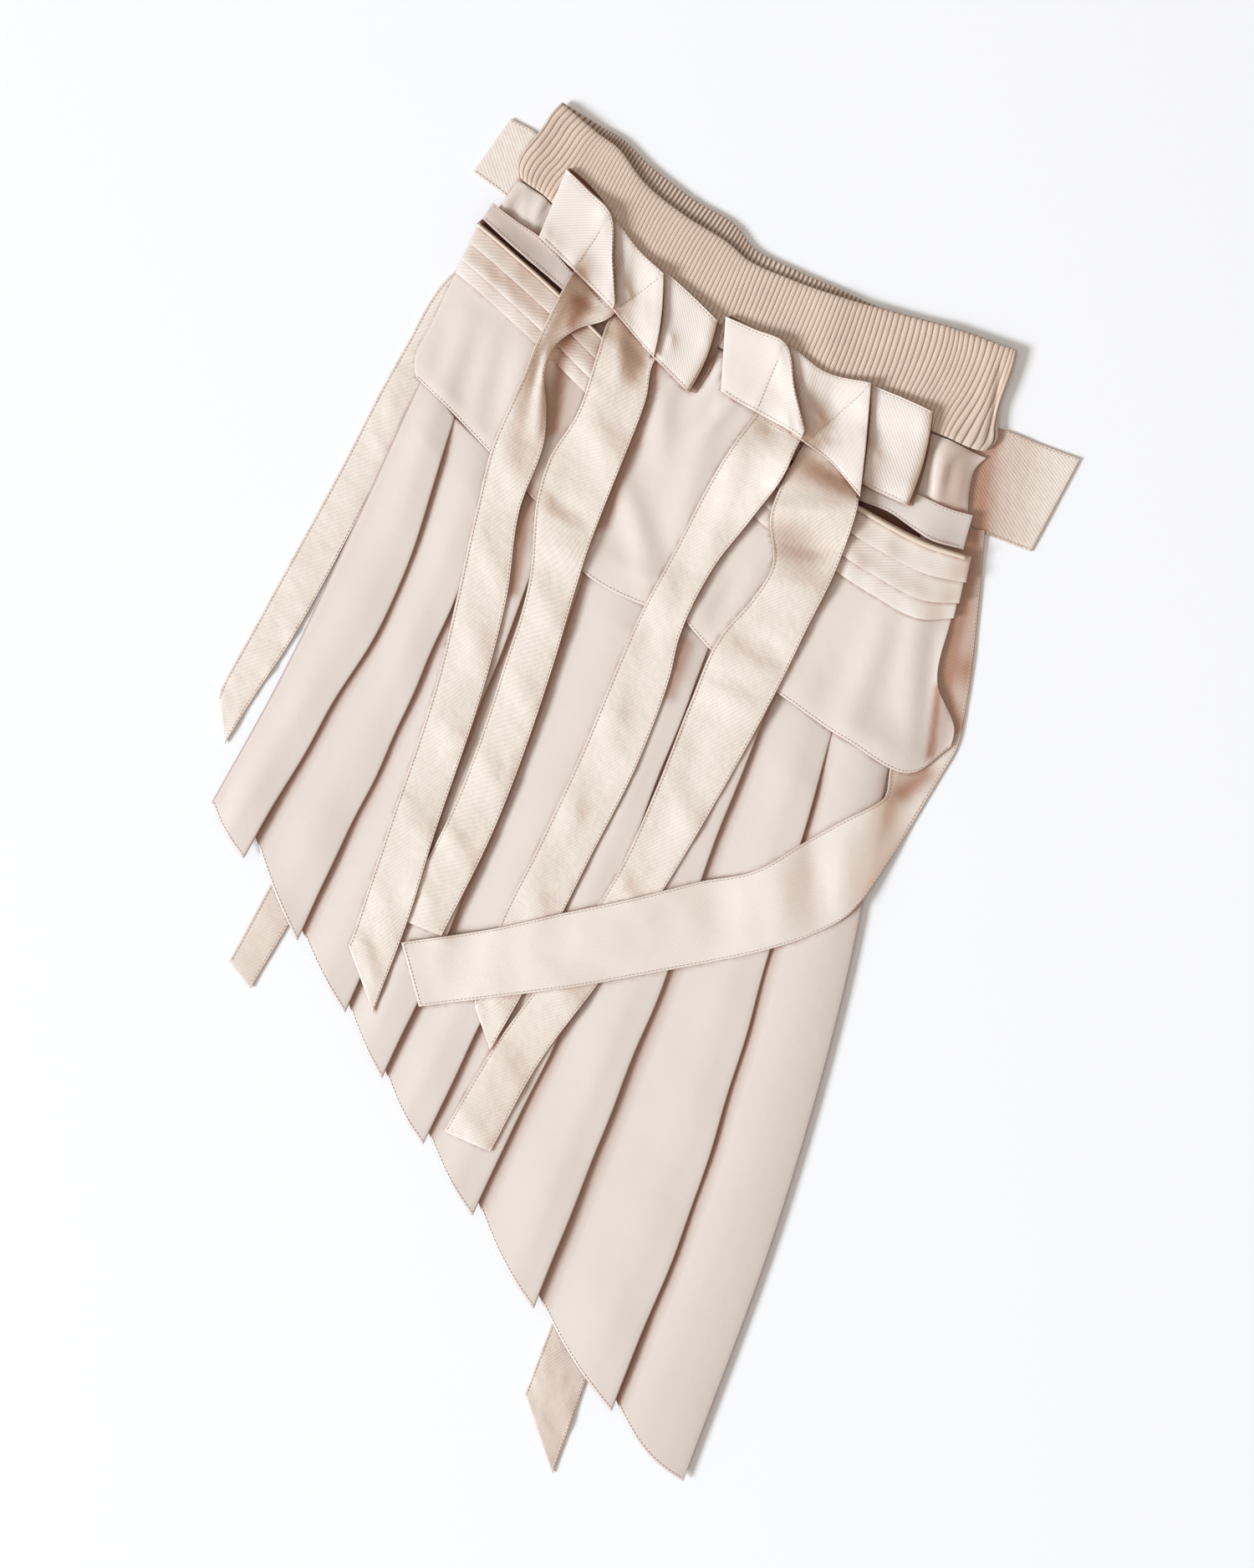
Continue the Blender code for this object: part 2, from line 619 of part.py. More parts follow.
def pocket(collection, side, supports):
    """Pocket panel with three tucks lapped like tiles, piping on its edge, and the hip band above."""
    patch = POCKETS[side]
    panel = pocket_strip(collection, f"pocket_{side}", patch, 0.0, 1.0, supports, PANEL_THICKNESS, SATIN,
                         columns=16, rows=9, wave=FLOUNCE_DEPTH)
    pieces = [panel]
    for number in range(len(TUCKS), 0, -1):
        tuck = TUCKS[number - 1]
        name = f"tuck_{side}_{number}"
        pieces.append(pocket_strip(collection, name, patch, tuck.upper, tuck.lower, supports + pieces,
                                   TUCK_THICKNESS))
    pieces.append(pocket_strip(collection, f"piping_{side}", patch, 0.0, PIPING_DEPTH, supports + pieces,
                               PIPING_THICKNESS, rows=2))
    pieces.append(strip(collection, f"hip_band_{side}", HIP_BANDS[side], supports + pieces, BAND_THICKNESS,
                        SATIN, columns=2))
    return pieces


def main():
    for obj in list(bpy.data.objects):
        bpy.data.objects.remove(obj, do_unlink=True)
    collection = bpy.data.collections.new("pleated_skirt")
    bpy.context.scene.collection.children.link(collection)

    def belt(name, supports, thickness, **grid):
        return strip(collection, name, STRIPS[name], supports, thickness, **grid)

    under = [belt("back_bow_left_wing", [], BACK_TAIL_THICKNESS)]
    for name in ("back_bow_left_tail_outer", "back_bow_left_tail_inner",
                 "back_bow_right_tail", "back_bow_right_wing"):
        under.append(belt(name, [], BACK_TAIL_THICKNESS, step=BACK_TAIL_STEP, columns=1))

    skirt_back = plain_back(collection)
    skirt_front = pleated_front(collection)
    yoke_front, yoke_back = yoke(collection, skirt_front, skirt_back)
    body = under + [skirt_front, skirt_back, yoke_front, yoke_back, waistband(collection)]

    # The belt runs below the right pocket panel and above the tails, so it is laid twice.
    belt_below_pocket = belt("wrap_belt", [skirt_front, skirt_back], TAIL_THICKNESS)
    pockets = pocket(collection, "left", body) + pocket(collection, "right", body + [belt_below_pocket])
    bpy.data.objects.remove(belt_below_pocket, do_unlink=True)

    tails = []
    for name in ("bow_left_tail_inner", "bow_left_tail_outer", "bow_right_tail_outer", "bow_right_tail_inner"):
        tails.append(belt(name, body + pockets + tails, TAIL_THICKNESS))
    belt("wrap_belt", [skirt_front, skirt_back] + tails, TAIL_THICKNESS)
    bows = []
    for side in ("left", "right"):
        for part in ("wing_right", "centre", "wing_left"):
            bows.append(belt(f"bow_{side}_{part}", body + pockets + tails + bows, BOW_THICKNESS,
                             rounds=BOW_SETTLE_ROUNDS))


main()
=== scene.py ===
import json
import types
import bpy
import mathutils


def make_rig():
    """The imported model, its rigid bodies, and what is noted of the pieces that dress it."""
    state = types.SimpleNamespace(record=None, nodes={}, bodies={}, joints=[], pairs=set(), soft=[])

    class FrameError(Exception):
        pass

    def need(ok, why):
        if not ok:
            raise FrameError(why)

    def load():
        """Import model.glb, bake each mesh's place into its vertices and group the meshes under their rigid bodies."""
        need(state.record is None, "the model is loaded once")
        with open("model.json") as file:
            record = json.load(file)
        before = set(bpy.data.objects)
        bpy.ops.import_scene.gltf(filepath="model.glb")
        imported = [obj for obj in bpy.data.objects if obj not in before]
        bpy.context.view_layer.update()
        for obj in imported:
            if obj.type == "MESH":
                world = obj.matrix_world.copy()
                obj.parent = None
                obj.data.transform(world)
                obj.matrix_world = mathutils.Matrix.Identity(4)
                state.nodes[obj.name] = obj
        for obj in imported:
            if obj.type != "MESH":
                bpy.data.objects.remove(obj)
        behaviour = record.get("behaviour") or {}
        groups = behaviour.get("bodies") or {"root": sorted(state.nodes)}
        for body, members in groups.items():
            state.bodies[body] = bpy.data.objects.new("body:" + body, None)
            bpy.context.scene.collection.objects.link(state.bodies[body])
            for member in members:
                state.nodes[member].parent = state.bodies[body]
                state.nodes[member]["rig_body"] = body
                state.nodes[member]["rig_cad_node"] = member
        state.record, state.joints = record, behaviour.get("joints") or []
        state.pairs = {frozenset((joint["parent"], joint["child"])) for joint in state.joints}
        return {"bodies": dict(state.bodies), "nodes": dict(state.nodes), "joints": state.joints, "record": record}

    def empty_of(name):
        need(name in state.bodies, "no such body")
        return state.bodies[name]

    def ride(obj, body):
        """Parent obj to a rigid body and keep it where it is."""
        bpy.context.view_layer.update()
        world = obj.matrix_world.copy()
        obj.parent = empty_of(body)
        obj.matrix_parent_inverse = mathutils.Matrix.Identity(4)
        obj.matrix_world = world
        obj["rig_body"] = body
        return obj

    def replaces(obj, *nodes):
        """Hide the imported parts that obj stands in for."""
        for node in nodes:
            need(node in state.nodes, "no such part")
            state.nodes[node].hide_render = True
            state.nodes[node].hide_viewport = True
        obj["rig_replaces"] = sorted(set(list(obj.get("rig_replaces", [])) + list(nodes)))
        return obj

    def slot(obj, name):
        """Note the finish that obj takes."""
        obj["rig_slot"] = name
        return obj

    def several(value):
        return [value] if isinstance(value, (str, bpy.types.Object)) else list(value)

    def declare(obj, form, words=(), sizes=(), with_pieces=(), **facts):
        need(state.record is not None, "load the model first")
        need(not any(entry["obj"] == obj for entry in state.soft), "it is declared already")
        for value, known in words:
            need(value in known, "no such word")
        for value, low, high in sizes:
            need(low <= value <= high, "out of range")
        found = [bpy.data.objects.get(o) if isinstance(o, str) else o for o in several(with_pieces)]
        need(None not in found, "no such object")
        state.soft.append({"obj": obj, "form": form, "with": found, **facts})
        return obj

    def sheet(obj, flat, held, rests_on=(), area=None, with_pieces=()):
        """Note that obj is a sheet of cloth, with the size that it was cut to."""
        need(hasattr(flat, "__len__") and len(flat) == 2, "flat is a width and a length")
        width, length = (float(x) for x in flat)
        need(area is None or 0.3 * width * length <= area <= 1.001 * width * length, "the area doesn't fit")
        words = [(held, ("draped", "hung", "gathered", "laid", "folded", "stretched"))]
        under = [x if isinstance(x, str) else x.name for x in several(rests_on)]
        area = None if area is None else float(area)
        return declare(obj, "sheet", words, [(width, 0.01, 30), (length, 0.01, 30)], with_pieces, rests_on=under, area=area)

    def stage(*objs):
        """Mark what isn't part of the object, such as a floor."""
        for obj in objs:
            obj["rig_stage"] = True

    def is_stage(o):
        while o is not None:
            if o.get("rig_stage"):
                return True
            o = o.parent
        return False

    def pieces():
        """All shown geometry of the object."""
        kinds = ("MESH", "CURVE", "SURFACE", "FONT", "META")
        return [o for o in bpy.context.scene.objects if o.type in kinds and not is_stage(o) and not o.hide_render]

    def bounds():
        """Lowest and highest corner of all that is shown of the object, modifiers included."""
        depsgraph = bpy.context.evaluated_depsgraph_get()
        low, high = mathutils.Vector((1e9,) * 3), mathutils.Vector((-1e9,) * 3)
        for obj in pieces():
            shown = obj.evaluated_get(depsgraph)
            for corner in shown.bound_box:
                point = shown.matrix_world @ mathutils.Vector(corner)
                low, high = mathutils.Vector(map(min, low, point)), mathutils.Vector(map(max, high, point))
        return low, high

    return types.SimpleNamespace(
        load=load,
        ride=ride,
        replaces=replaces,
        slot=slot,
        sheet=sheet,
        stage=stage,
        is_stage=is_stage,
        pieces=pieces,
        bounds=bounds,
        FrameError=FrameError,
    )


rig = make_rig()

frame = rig.load()

import json
import math
from collections import namedtuple

import bpy
import numpy as np
from mathutils import Vector

cad_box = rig.bounds()

# Sizes and places shared with the solids
MM = 0.001
WAIST_WIDTH = 340 * MM
WAIST_WIDTH_IN_PICTURE = 641.5
PICTURE_TURN = math.radians(25)
PICTURE_CENTRE_X = 699.1
PICTURE_CENTRE_Y = 957.9
SCALE = WAIST_WIDTH / WAIST_WIDTH_IN_PICTURE
GAP = 0.35 * MM
BACK_HEIGHT = 1.55 * MM
FRONT_HEIGHT = 3.10 * MM

# Cloth thicknesses
SATIN_THICKNESS = 0.9 * MM
TAIL_THICKNESS = 1.1 * MM
BOW_LAYER = 0.7 * MM
CENTRE_THICKNESS = 1.3 * MM
TUCK_THICKNESS = 1.0 * MM
PIPING_THICKNESS = 2.0 * MM
BACK_TAIL_THICKNESS = 1.1 * MM
MOUTH_THICKNESS = 0.6 * MM
GAP_THICKNESS = 0.4 * MM

# How finely the cloth is drawn and draped
CELL = 1.0 * MM
RELIEF_HALF_WIDTH = 260 * MM
RELIEF_HALF_LENGTH = 415 * MM
RELIEF_SPREAD = 2
REFINE = 4
DRAPE_STEP = 2.5 * MM
CLOTH_STEP = 2.6 * MM
BACK_STEP = 8 * MM
BOW_STEP = 1.2 * MM
FEWEST_POINTS = 4
FEWEST_RESTS = 5
BORDER_STEPS = (0.12, 0.45, 1.0)
CLEAR = 0.3 * MM
DRAPE_ROUNDS = 60
YOKE_ROUNDS = 30
WING_ROUNDS = 25
TUCK_ROUNDS = 6
TRIM_ROUNDS = 1
SOFTEN_ROUNDS = 2
TURN_POINTS = 5
HALF_TURN = np.linspace(math.pi / 2, -math.pi / 2, TURN_POINTS + 2)[1:-1]
LAST_CELL = 1.001         # how far a point stays from the grid's end, in cells
TINY = 1e-12

# Painted shade on the cloth: along borders, in folds, where cloth turns away from the key light, and on edges lit by
# it
KEY_SIDE = (-27200, 8650)    # the side that the key light stands on, in picture positions
BORDER_SHADE = 0.3
BORDER_SHADE_WIDTH = 0.5 * MM
FOLD_REACH = np.array([1.2, 2.5, 4.5, 7.5, 12]) * MM
FOLD_DIRECTIONS = 12
PAINTED_FOLD_SHADE = 1.15
FOLD_SHADE_START = 0.12
LIT_SIDE_SHARE = 0.15
TURNED_SHADE_IN_TWILL = (0.06, 3.5)    # where it begins, and how fast it grows
TURNED_SHADE_IN_SATIN = (0.25, 2.5)
LIT_EDGE_START = 0.4
LIT_EDGE_SHADE = 0.8

# Rib waistband
RIB_COUNT = 108
RIB_PROFILE = [(0.0, 0.0), (0.1, 0.62), (0.26, 0.94), (0.5, 1.0), (0.74, 0.94), (0.9, 0.62)]
RIB_RELIEF = 1.1 * MM
RIB_MIDDLE = 0.5
RIB_LAYER = 1.1 * MM
BAND_DEPTH = 58 * MM
BAND_HALF_GAP = 1.35 * MM
BAND_MIDDLE = 4.15 * MM
BAND_ROWS = 26
BAND_ROLL = 3.5 * MM
BAND_ROLL_DROP = 1.1 * MM
BAND_HEM_DROP = 0.6 * MM
BAND_CORNER_SHARE = 0.035
BAND_CORNER_RIGHT = 7 * MM
BAND_CORNER_LEFT = 3 * MM
BAND_SEED = 11
BAND_SWELLS = 14
SWELL_WIDTH = (0.02, 0.06)
SWELL_LEAN = (-0.05, 0.05)
SWELL_HEIGHT = (0.2, 0.9)    # millimetres
# Painted shade in the grooves between ribs: how fast it lightens towards a crest, and its level on the rounded ends
CREST_SHADE_SCALE = 1.1
ROUNDED_END_SHADE = 0.7

# Knife pleats
PLEAT_LENGTH = 600 * MM
PLEAT_ROWS = 140
PLEAT_SEED = 23
LAYER_STEP = 1.2 * MM
UNDERLAY_AT_SEAM = 11 * MM
UNDERLAY_AT_HEM = 14 * MM
RISE_START = 1.6 * MM
RISE_MARGIN = 0.04
LEAST_RISE = 0.2
PANEL_WIDTH = 45 * MM
PANEL_COLUMNS = 18
PANEL_PUFF = 0.5 * MM
PUFF_AT_HEM, PUFF_GROWTH = 0.6, 0.4
LAST_PANEL_PUFF = 2.2 * MM
LAST_PANEL_POWER = 0.7
HIDDEN_HEM_UP = 5 * MM
RIPPLE_HEIGHT = 0.28 * MM
RIPPLE_WAVES = 3
RIPPLE_SIZE = (0.3, 1.0)
RIPPLE_TURNS = (0.8, 2.6)
RIPPLE_DRIFT = (-0.9, 0.9)
RIPPLE_AT_TOP, RIPPLE_GROWTH = 0.35, 0.65
WANDER_WAVES = ((0.25, (0.7, 1.5)), (0.15, (1.8, 3.2)), (0.1, (3.5, 6)))
EDGE_LIFT = 2.6 * MM
LIFT_AT_TOP, LIFT_GROWTH = 0.4, 0.6
FOLD_OPEN = 0.8
# Painted shadow beside each fold edge on the panel below it, and painted shade on the fold's turn
FOLD_SHADE_WIDTHS = (0, 1.4 * MM, 2.6 * MM, 5 * MM, 8 * MM)
FOLD_SHADE_TONES = (1.0, 0.95, 0.5, 0.22, 0)
FOLD_EDGE_SHADE = 0.32
FOLD_EDGE_BASE = 1.6
FOLD_WAVE = 4 * MM
RETURN_SHARES = (0.0, 0.2, 0.5, 1.0)
UNDER_TURNS = (math.pi / 3, 0.0, -math.pi / 3)
UNDERLAY_SHARES = (0.0, 0.35, 0.7)
PLEATS_ABOVE = 0.035
PLEATS_OPENING = 0.1
PLEATS_CLOSED = 0.3
BACK_INSET = 3 * MM
BACK_INSET_AT = (0, 0.1, 0.9, 1)
BACK_INSET_SHARES = (1, 0, 0, -1)

# Yoke
YOKE_LAP = 3 * MM
YOKE_DEPTH = 160 * MM
YOKE_SEED = 5
YOKE_SEAM_MIDDLE = 0.44
YOKE_SEAM_HALF = 0.13
WAIST_SEAM = 0.0045
BACK_WAIST_SEAM = 0.01
GATHER_COUNT = 54
GATHER_WIDTH = (1.4, 2.6)    # millimetres
GATHER_REACH = (14, 48)      # millimetres
GATHER_LEAN = (-0.25, 0.25)
GATHER_HEIGHT = (0.8, 2.8)   # millimetres
GATHER_FADE = 1.5
GATHER_LIMIT = 3.4 * MM

# Pocket panels and their tucks
PIPING_START = 0.008
PIPING_END = 0.028
PANEL_BULGE = 1.2 * MM
PANEL_LIFT = 0.5 * MM
SIDE_LIFT = {"left": 0.0, "right": 2.2 * MM}
SIDE_LIFT_POWER = 3
TUCK_LIFT = 0.1 * MM
TUCK_PUFF = 0.6 * MM
TUCK_PUFF_POWER = 0.75
TUCK_STEP = 1.3 * MM
TUCK_STEP_POWER = 6
TUCK_CRINKLES = 20
CRINKLE_WIDTH = (2, 7)       # millimetres
CRINKLE_LEAN = (-1.2, 1.2)
CRINKLE_HEIGHT = (0.1, 0.6)  # millimetres
CRINKLE_AT_TOP, CRINKLE_GROWTH = 0.4, 0.6

# Bows: a wing's layers lie the loop gap apart, and its lower layer peeks out at one side
LOOP_GAP = 0.2 * MM
WING_PUFF = 0.5 * MM
END_ROLL = 5 * MM
PEEK_RISE = 0.6
PEEK_RISE_POWER, PEEK_POWER = 3, 4
PEEK_TAPER = 9
RIGHT_WING = {"opening": 2.6 * MM, "peek": 0.0, "end_bow": 2.6 * MM, "end_drop": 1.2 * MM}
LEFT_WING = {"opening": 0.4 * MM, "peek": 0.8 * MM, "end_bow": 0.0, "end_drop": 0.4 * MM}
CENTRE_BOW = {"left": 2.4 * MM, "right": 0.8 * MM}

# Creases, puckers and the uneven edges of belts
CREASE_AT_ENDS, CREASE_GROWTH = 0.55, 0.45
PUCKER_LENGTH = (5 * MM, 13 * MM)
PUCKER_WIDTH = (1.6 * MM, 3.2 * MM)
PUCKER_TO_EDGES = 0.7
PUCKER_TURN = (0.35, 1.25)
PUCKER_SHARE = (0.35, 1.0)
FLUTTER_HEIGHT = 0.45 * MM
FLUTTER_MIDDLE, FLUTTER_SWING = 0.5, 0.25
FLUTTER_SIZES = (1.0, 0.6, 0.4)
FLUTTER_PITCH = (28, 85)     # millimetres

# Stitches
STITCH_INSET = 1.7 * MM
STITCH_PITCH = 2.5 * MM
STITCH_LENGTH = 1.9 * MM
STITCH_RADIUS = 0.2 * MM
STITCH_SINK = 0.05 * MM
STITCH_SIDES = 6
STITCH_RINGS = [(-0.5, 0.0), (-0.44, 0.7), (-0.2, 1.0), (0.2, 1.0), (0.44, 0.7), (0.5, 0.0)]
STITCH_GROOVE = 0.28 * MM
STITCH_GROOVE_WIDTH = 0.9 * MM
STITCH_MARKS = STITCH_INSET + np.array([-1, 0, 1]) * STITCH_GROOVE_WIDTH
SEAM_WIDTH = 0.9 * MM
SEAM_SHARES = np.linspace(0.04, 0.96, 24)

# Finishes and fine patterns of the cloths. Scales of noise are per metre.
Finish = namedtuple("Finish", "roughness sheen gloss")
SATIN = Finish(0.44, 0.05, 0.6)
DULL_SATIN = Finish(0.44, 0.05, 0.1)
TWILL = Finish(0.40, 0.05, 0.75)
KNIT = Finish(0.85, 0.3, 0.3)
TWISTED = Finish(0.5, 0.1, 0.5)
PAPER = Finish(0.9, 0.0, 0.1)
SHEEN_ROUGHNESS = 0.4
CLOTH_IOR = 1.6
# Tints of painted shade: in folds and along borders, and where twill or satin turns away from the key light
PAINTED_SHADE_TINT = (0.52, 0.30, 0.21)
TURNED_AWAY_SHADE_TINT = (0.97, 0.81, 0.70)
SATIN_TURNED_SHADE_TINT = (1.0, 0.74, 0.62)
PRESSED_TONES = ((0.755, 0.682, 0.63), (0.83, 0.757, 0.705))
SATIN_CLOUDS, SATIN_RIPPLES, SATIN_WEAVE = 22.0, 95.0, (1400.0, 320.0, 1.0)
SATIN_RIPPLE_DEPTH, SATIN_WEAVE_DEPTH = 0.18 * MM, 0.03 * MM
SATIN_VARIATION = 0.12
WAVE_UNIT = math.pi / 10  # over the scale of a wave texture, it gives the pitch of the wave
TWILL_PITCH = 2.0 * MM
TWILL_BEND, TWILL_BEND_SCALE = 0.6, 0.4
TWILL_CLOUDS, TWILL_SLUBS = 30.0, (700.0, 90.0, 1.0)
TWILL_CRINKLES, TWILL_CRINKLE_DETAIL = 170.0, 2.5
TWILL_START, TWILL_LINE_SHARE = -0.22, 0.45
TWILL_LINE_DEPTH, TWILL_SLUB_DEPTH = 0.07 * MM, 0.04 * MM
TWILL_VARIATION = 0.16
BELT_ANGLE, PRESSED_ANGLE, OTHER_ANGLE = math.radians(145), math.radians(122), math.radians(58)
BELT_CRINKLE, PRESSED_CRINKLE = 0.42 * MM, 0.08 * MM
KNIT_COLUMN, KNIT_ROW = 1.6 * MM, 1.3 * MM
KNIT_CLOUDS, KNIT_FUZZ, KNIT_FUZZ_DETAIL = 60.0, 1600.0, 3.0
KNIT_CLOUD_SHARE, KNIT_LOOP_SHARE = 0.3, 0.08
KNIT_LOOP_DEPTH, KNIT_FUZZ_DEPTH = 0.06 * MM, 0.1 * MM
THREAD_PLY, THREAD_DEPTH = 0.5 * MM, 0.04 * MM

# Floor, camera and light
FLOOR_HALF = 14.0
FLOOR_DROP = 0.2 * MM
FLOOR_COLOUR = (0.895, 0.915, 0.95)
PICTURE_MIDDLE = (750, 937.5)
PICTURE_HEIGHT = 1875
LENS = 100
SENSOR = 36
WORLD_COLOUR = (1.0, 0.88, 0.76)
WORLD_STRENGTH = 0.4

# Columns of the tables. Places are picture positions. Lifts, widths, heights and drops are millimetres.
Station = namedtuple("Station", "left_x left_y right_x right_y left_lift right_lift", defaults=(0, 0))
Fold = namedtuple("Fold", "top_x top_y upper_x upper_y lower_x lower_y tip_x tip_y notch_x notch_y hem_curve")
Rib = namedtuple("Rib", "top_x top_y bottom_x bottom_y back_above number")
RibBend = namedtuple("RibBend", "rib at_15 at_35 at_55 at_75 at_92")
Patch = namedtuple("Patch", "top bottom left right")
Tuck = namedtuple("Tuck", "upper lower")
Crease = namedtuple("Crease", "from_x from_y to_x to_y width height")
Shade = namedtuple("Shade", "from_x from_y to_x to_y width depth")
Seam = namedtuple("Seam", "from_x from_y to_x to_y groove drop")
Pucker = namedtuple("Pucker", "start end count height")
Lamp = namedtuple("Lamp", "name side height size watts colour")


def named(kind, rows):
    """Plain rows turned into rows with named columns."""
    return [kind(*row) for row in rows]


def tables(kind, **pieces):
    """Rows with named columns for each piece."""
    return {name: named(kind, rows) for name, rows in pieces.items()}


# Fold lines of the pleats, left side of the skirt first, right side last
FOLDS = named(Fold, [
    (500, 462, 424, 628, 330, 822, 254, 959, 254, 959, 0),
    (538, 517, 490, 672, 385, 865, 292, 1026, 311, 1004, 2),
    (599, 577, 535, 735, 455, 915, 356, 1124, 367, 1116, 2),
    (655, 634, 593, 798, 508, 995, 413, 1210, 422, 1203, 2),
    (700, 680, 638, 860, 561, 1060, 457, 1288, 464, 1281, 2),
    (783, 724, 712, 925, 610, 1152, 506, 1367, 517, 1356, 3),
    (845, 780, 762, 1000, 665, 1238, 565, 1452, 579, 1442, 3),
    (920, 841, 836, 1054, 747, 1290, 638, 1563, 651, 1552, 4),
    (988, 897, 922, 1135, 841, 1400, 731, 1685, 740, 1674, 4),
    (1060, 932, 1005, 1200, 934, 1450, 817, 1770, 817, 1770, 7),
])

# Rib lines of the waistband, how far its back shows above the front, and the rib's number
RIBS = named(Rib, [
    (672, 125, 620, 215, 1, 0), (711, 158, 653, 237, 5, 7), (740, 180, 688, 278, 7, 15),
    (768, 217, 722, 315, 11, 23.9), (820, 260, 768, 361, 12, 36.5), (872, 293, 820, 395, 12, 48),
    (894, 312, 852, 412, 9, 53.6), (947, 336, 900, 438, 7, 63.2), (1002, 356, 956, 458, 5, 73.3),
    (1055, 371, 1015, 479, 1, 82.5), (1102, 384, 1062, 494, 1, 89.5), (1136, 393, 1092, 506, 1, 94.5),
    (1157, 400, 1113, 516, 1, 98.3), (1174, 406, 1123, 520, 1, 100.7), (1193, 413, 1137, 526, 1, 103.2),
    (1202, 416, 1149, 532, 1, 104.6), (1210, 419, 1165, 540, 1, 106.1), (1215, 422, 1181, 547, 1, 108),
])

# How far a rib bends to the right of its straight line, in millimetres at five depths
RIB_BENDS = named(RibBend, [
    (0, -2, -2.4, -3.8, -5.4, -3.6), (5.8, -1.1, -0.7, -0.7, -1.9, -1),
    (17.5, -0.5, -0.6, -0.5, -0.5, -0.2), (36, -1.2, -1.5, -1.4, -0.8, -0.3),
    (60, 0.2, 0.6, 0.7, 0.5, 0.2), (86.9, 0.9, 1.6, 1.8, 1.3, 0.4), (100.2, 2, 2.7, 1.8, -0.3, -0.7),
    (105.2, 0.9, 1.8, 2.2, 1.6, 0.8), (108, 0.4, -0.5, -1.4, 0.2, 2.4),
])
RIB_BEND_DEPTHS = (0, 0.15, 0.35, 0.55, 0.75, 0.92, 1)

# Sides and hem of the yoke, from the waistband down and from left to right
YOKE_LEFT = [(620, 215), (601, 245), (586, 264), (563, 296), (530, 372), (506, 440), (500, 462)]
YOKE_RIGHT = [
    (1181, 547), (1167, 560), (1159, 588), (1156, 625), (1128, 672), (1092, 750), (1070, 842),
    (1060, 932),
]
YOKE_HEM = [
    (503, 444), (541, 479), (590, 531), (650, 602), (700, 680), (783, 724), (822, 738), (854, 768),
    (930, 817), (1014, 875), (1060, 896),
]

# Pocket panels, each a patch between four edges, with tucks as shares of its depth
POCKETS = {
    "left": Patch(
        top=[(574, 268), (597, 287), (622, 309), (645, 329), (669, 351), (722, 403)],
        bottom=[(499, 453), (535, 488), (584, 540), (650, 610)],
        left=[(574, 268), (545, 328), (518, 385), (496, 440), (499, 453)],
        right=[(722, 403), (690, 500), (650, 610)],
    ),
    "right": Patch(
        top=[(928, 548), (1028, 606), (1108, 648), (1154, 664)],
        bottom=[(818, 742), (850, 778), (926, 827), (1010, 885), (1092, 924), (1137, 893)],
        left=[(928, 548), (866, 650), (818, 742)],
        right=[(1154, 664), (1138, 738), (1121, 817), (1141, 878), (1137, 893)],
    ),
}

TUCKS = [Tuck(0.0, 0.135), Tuck(0.115, 0.245), Tuck(0.225, 0.325)]
HIP_BANDS = tables(
    Station,
    left=[
        (590, 245, 578, 264), (622, 269, 603, 288), (646, 285, 628, 310), (683, 325, 664, 340),
        (728, 372, 714, 388),
    ],
    right=[
        (945, 510, 930, 541), (1040, 562, 1026, 599), (1078, 583, 1064, 614), (1108, 597, 1092, 634),
        (1132, 608, 1112, 647), (1163, 617, 1151, 658),
    ],
)

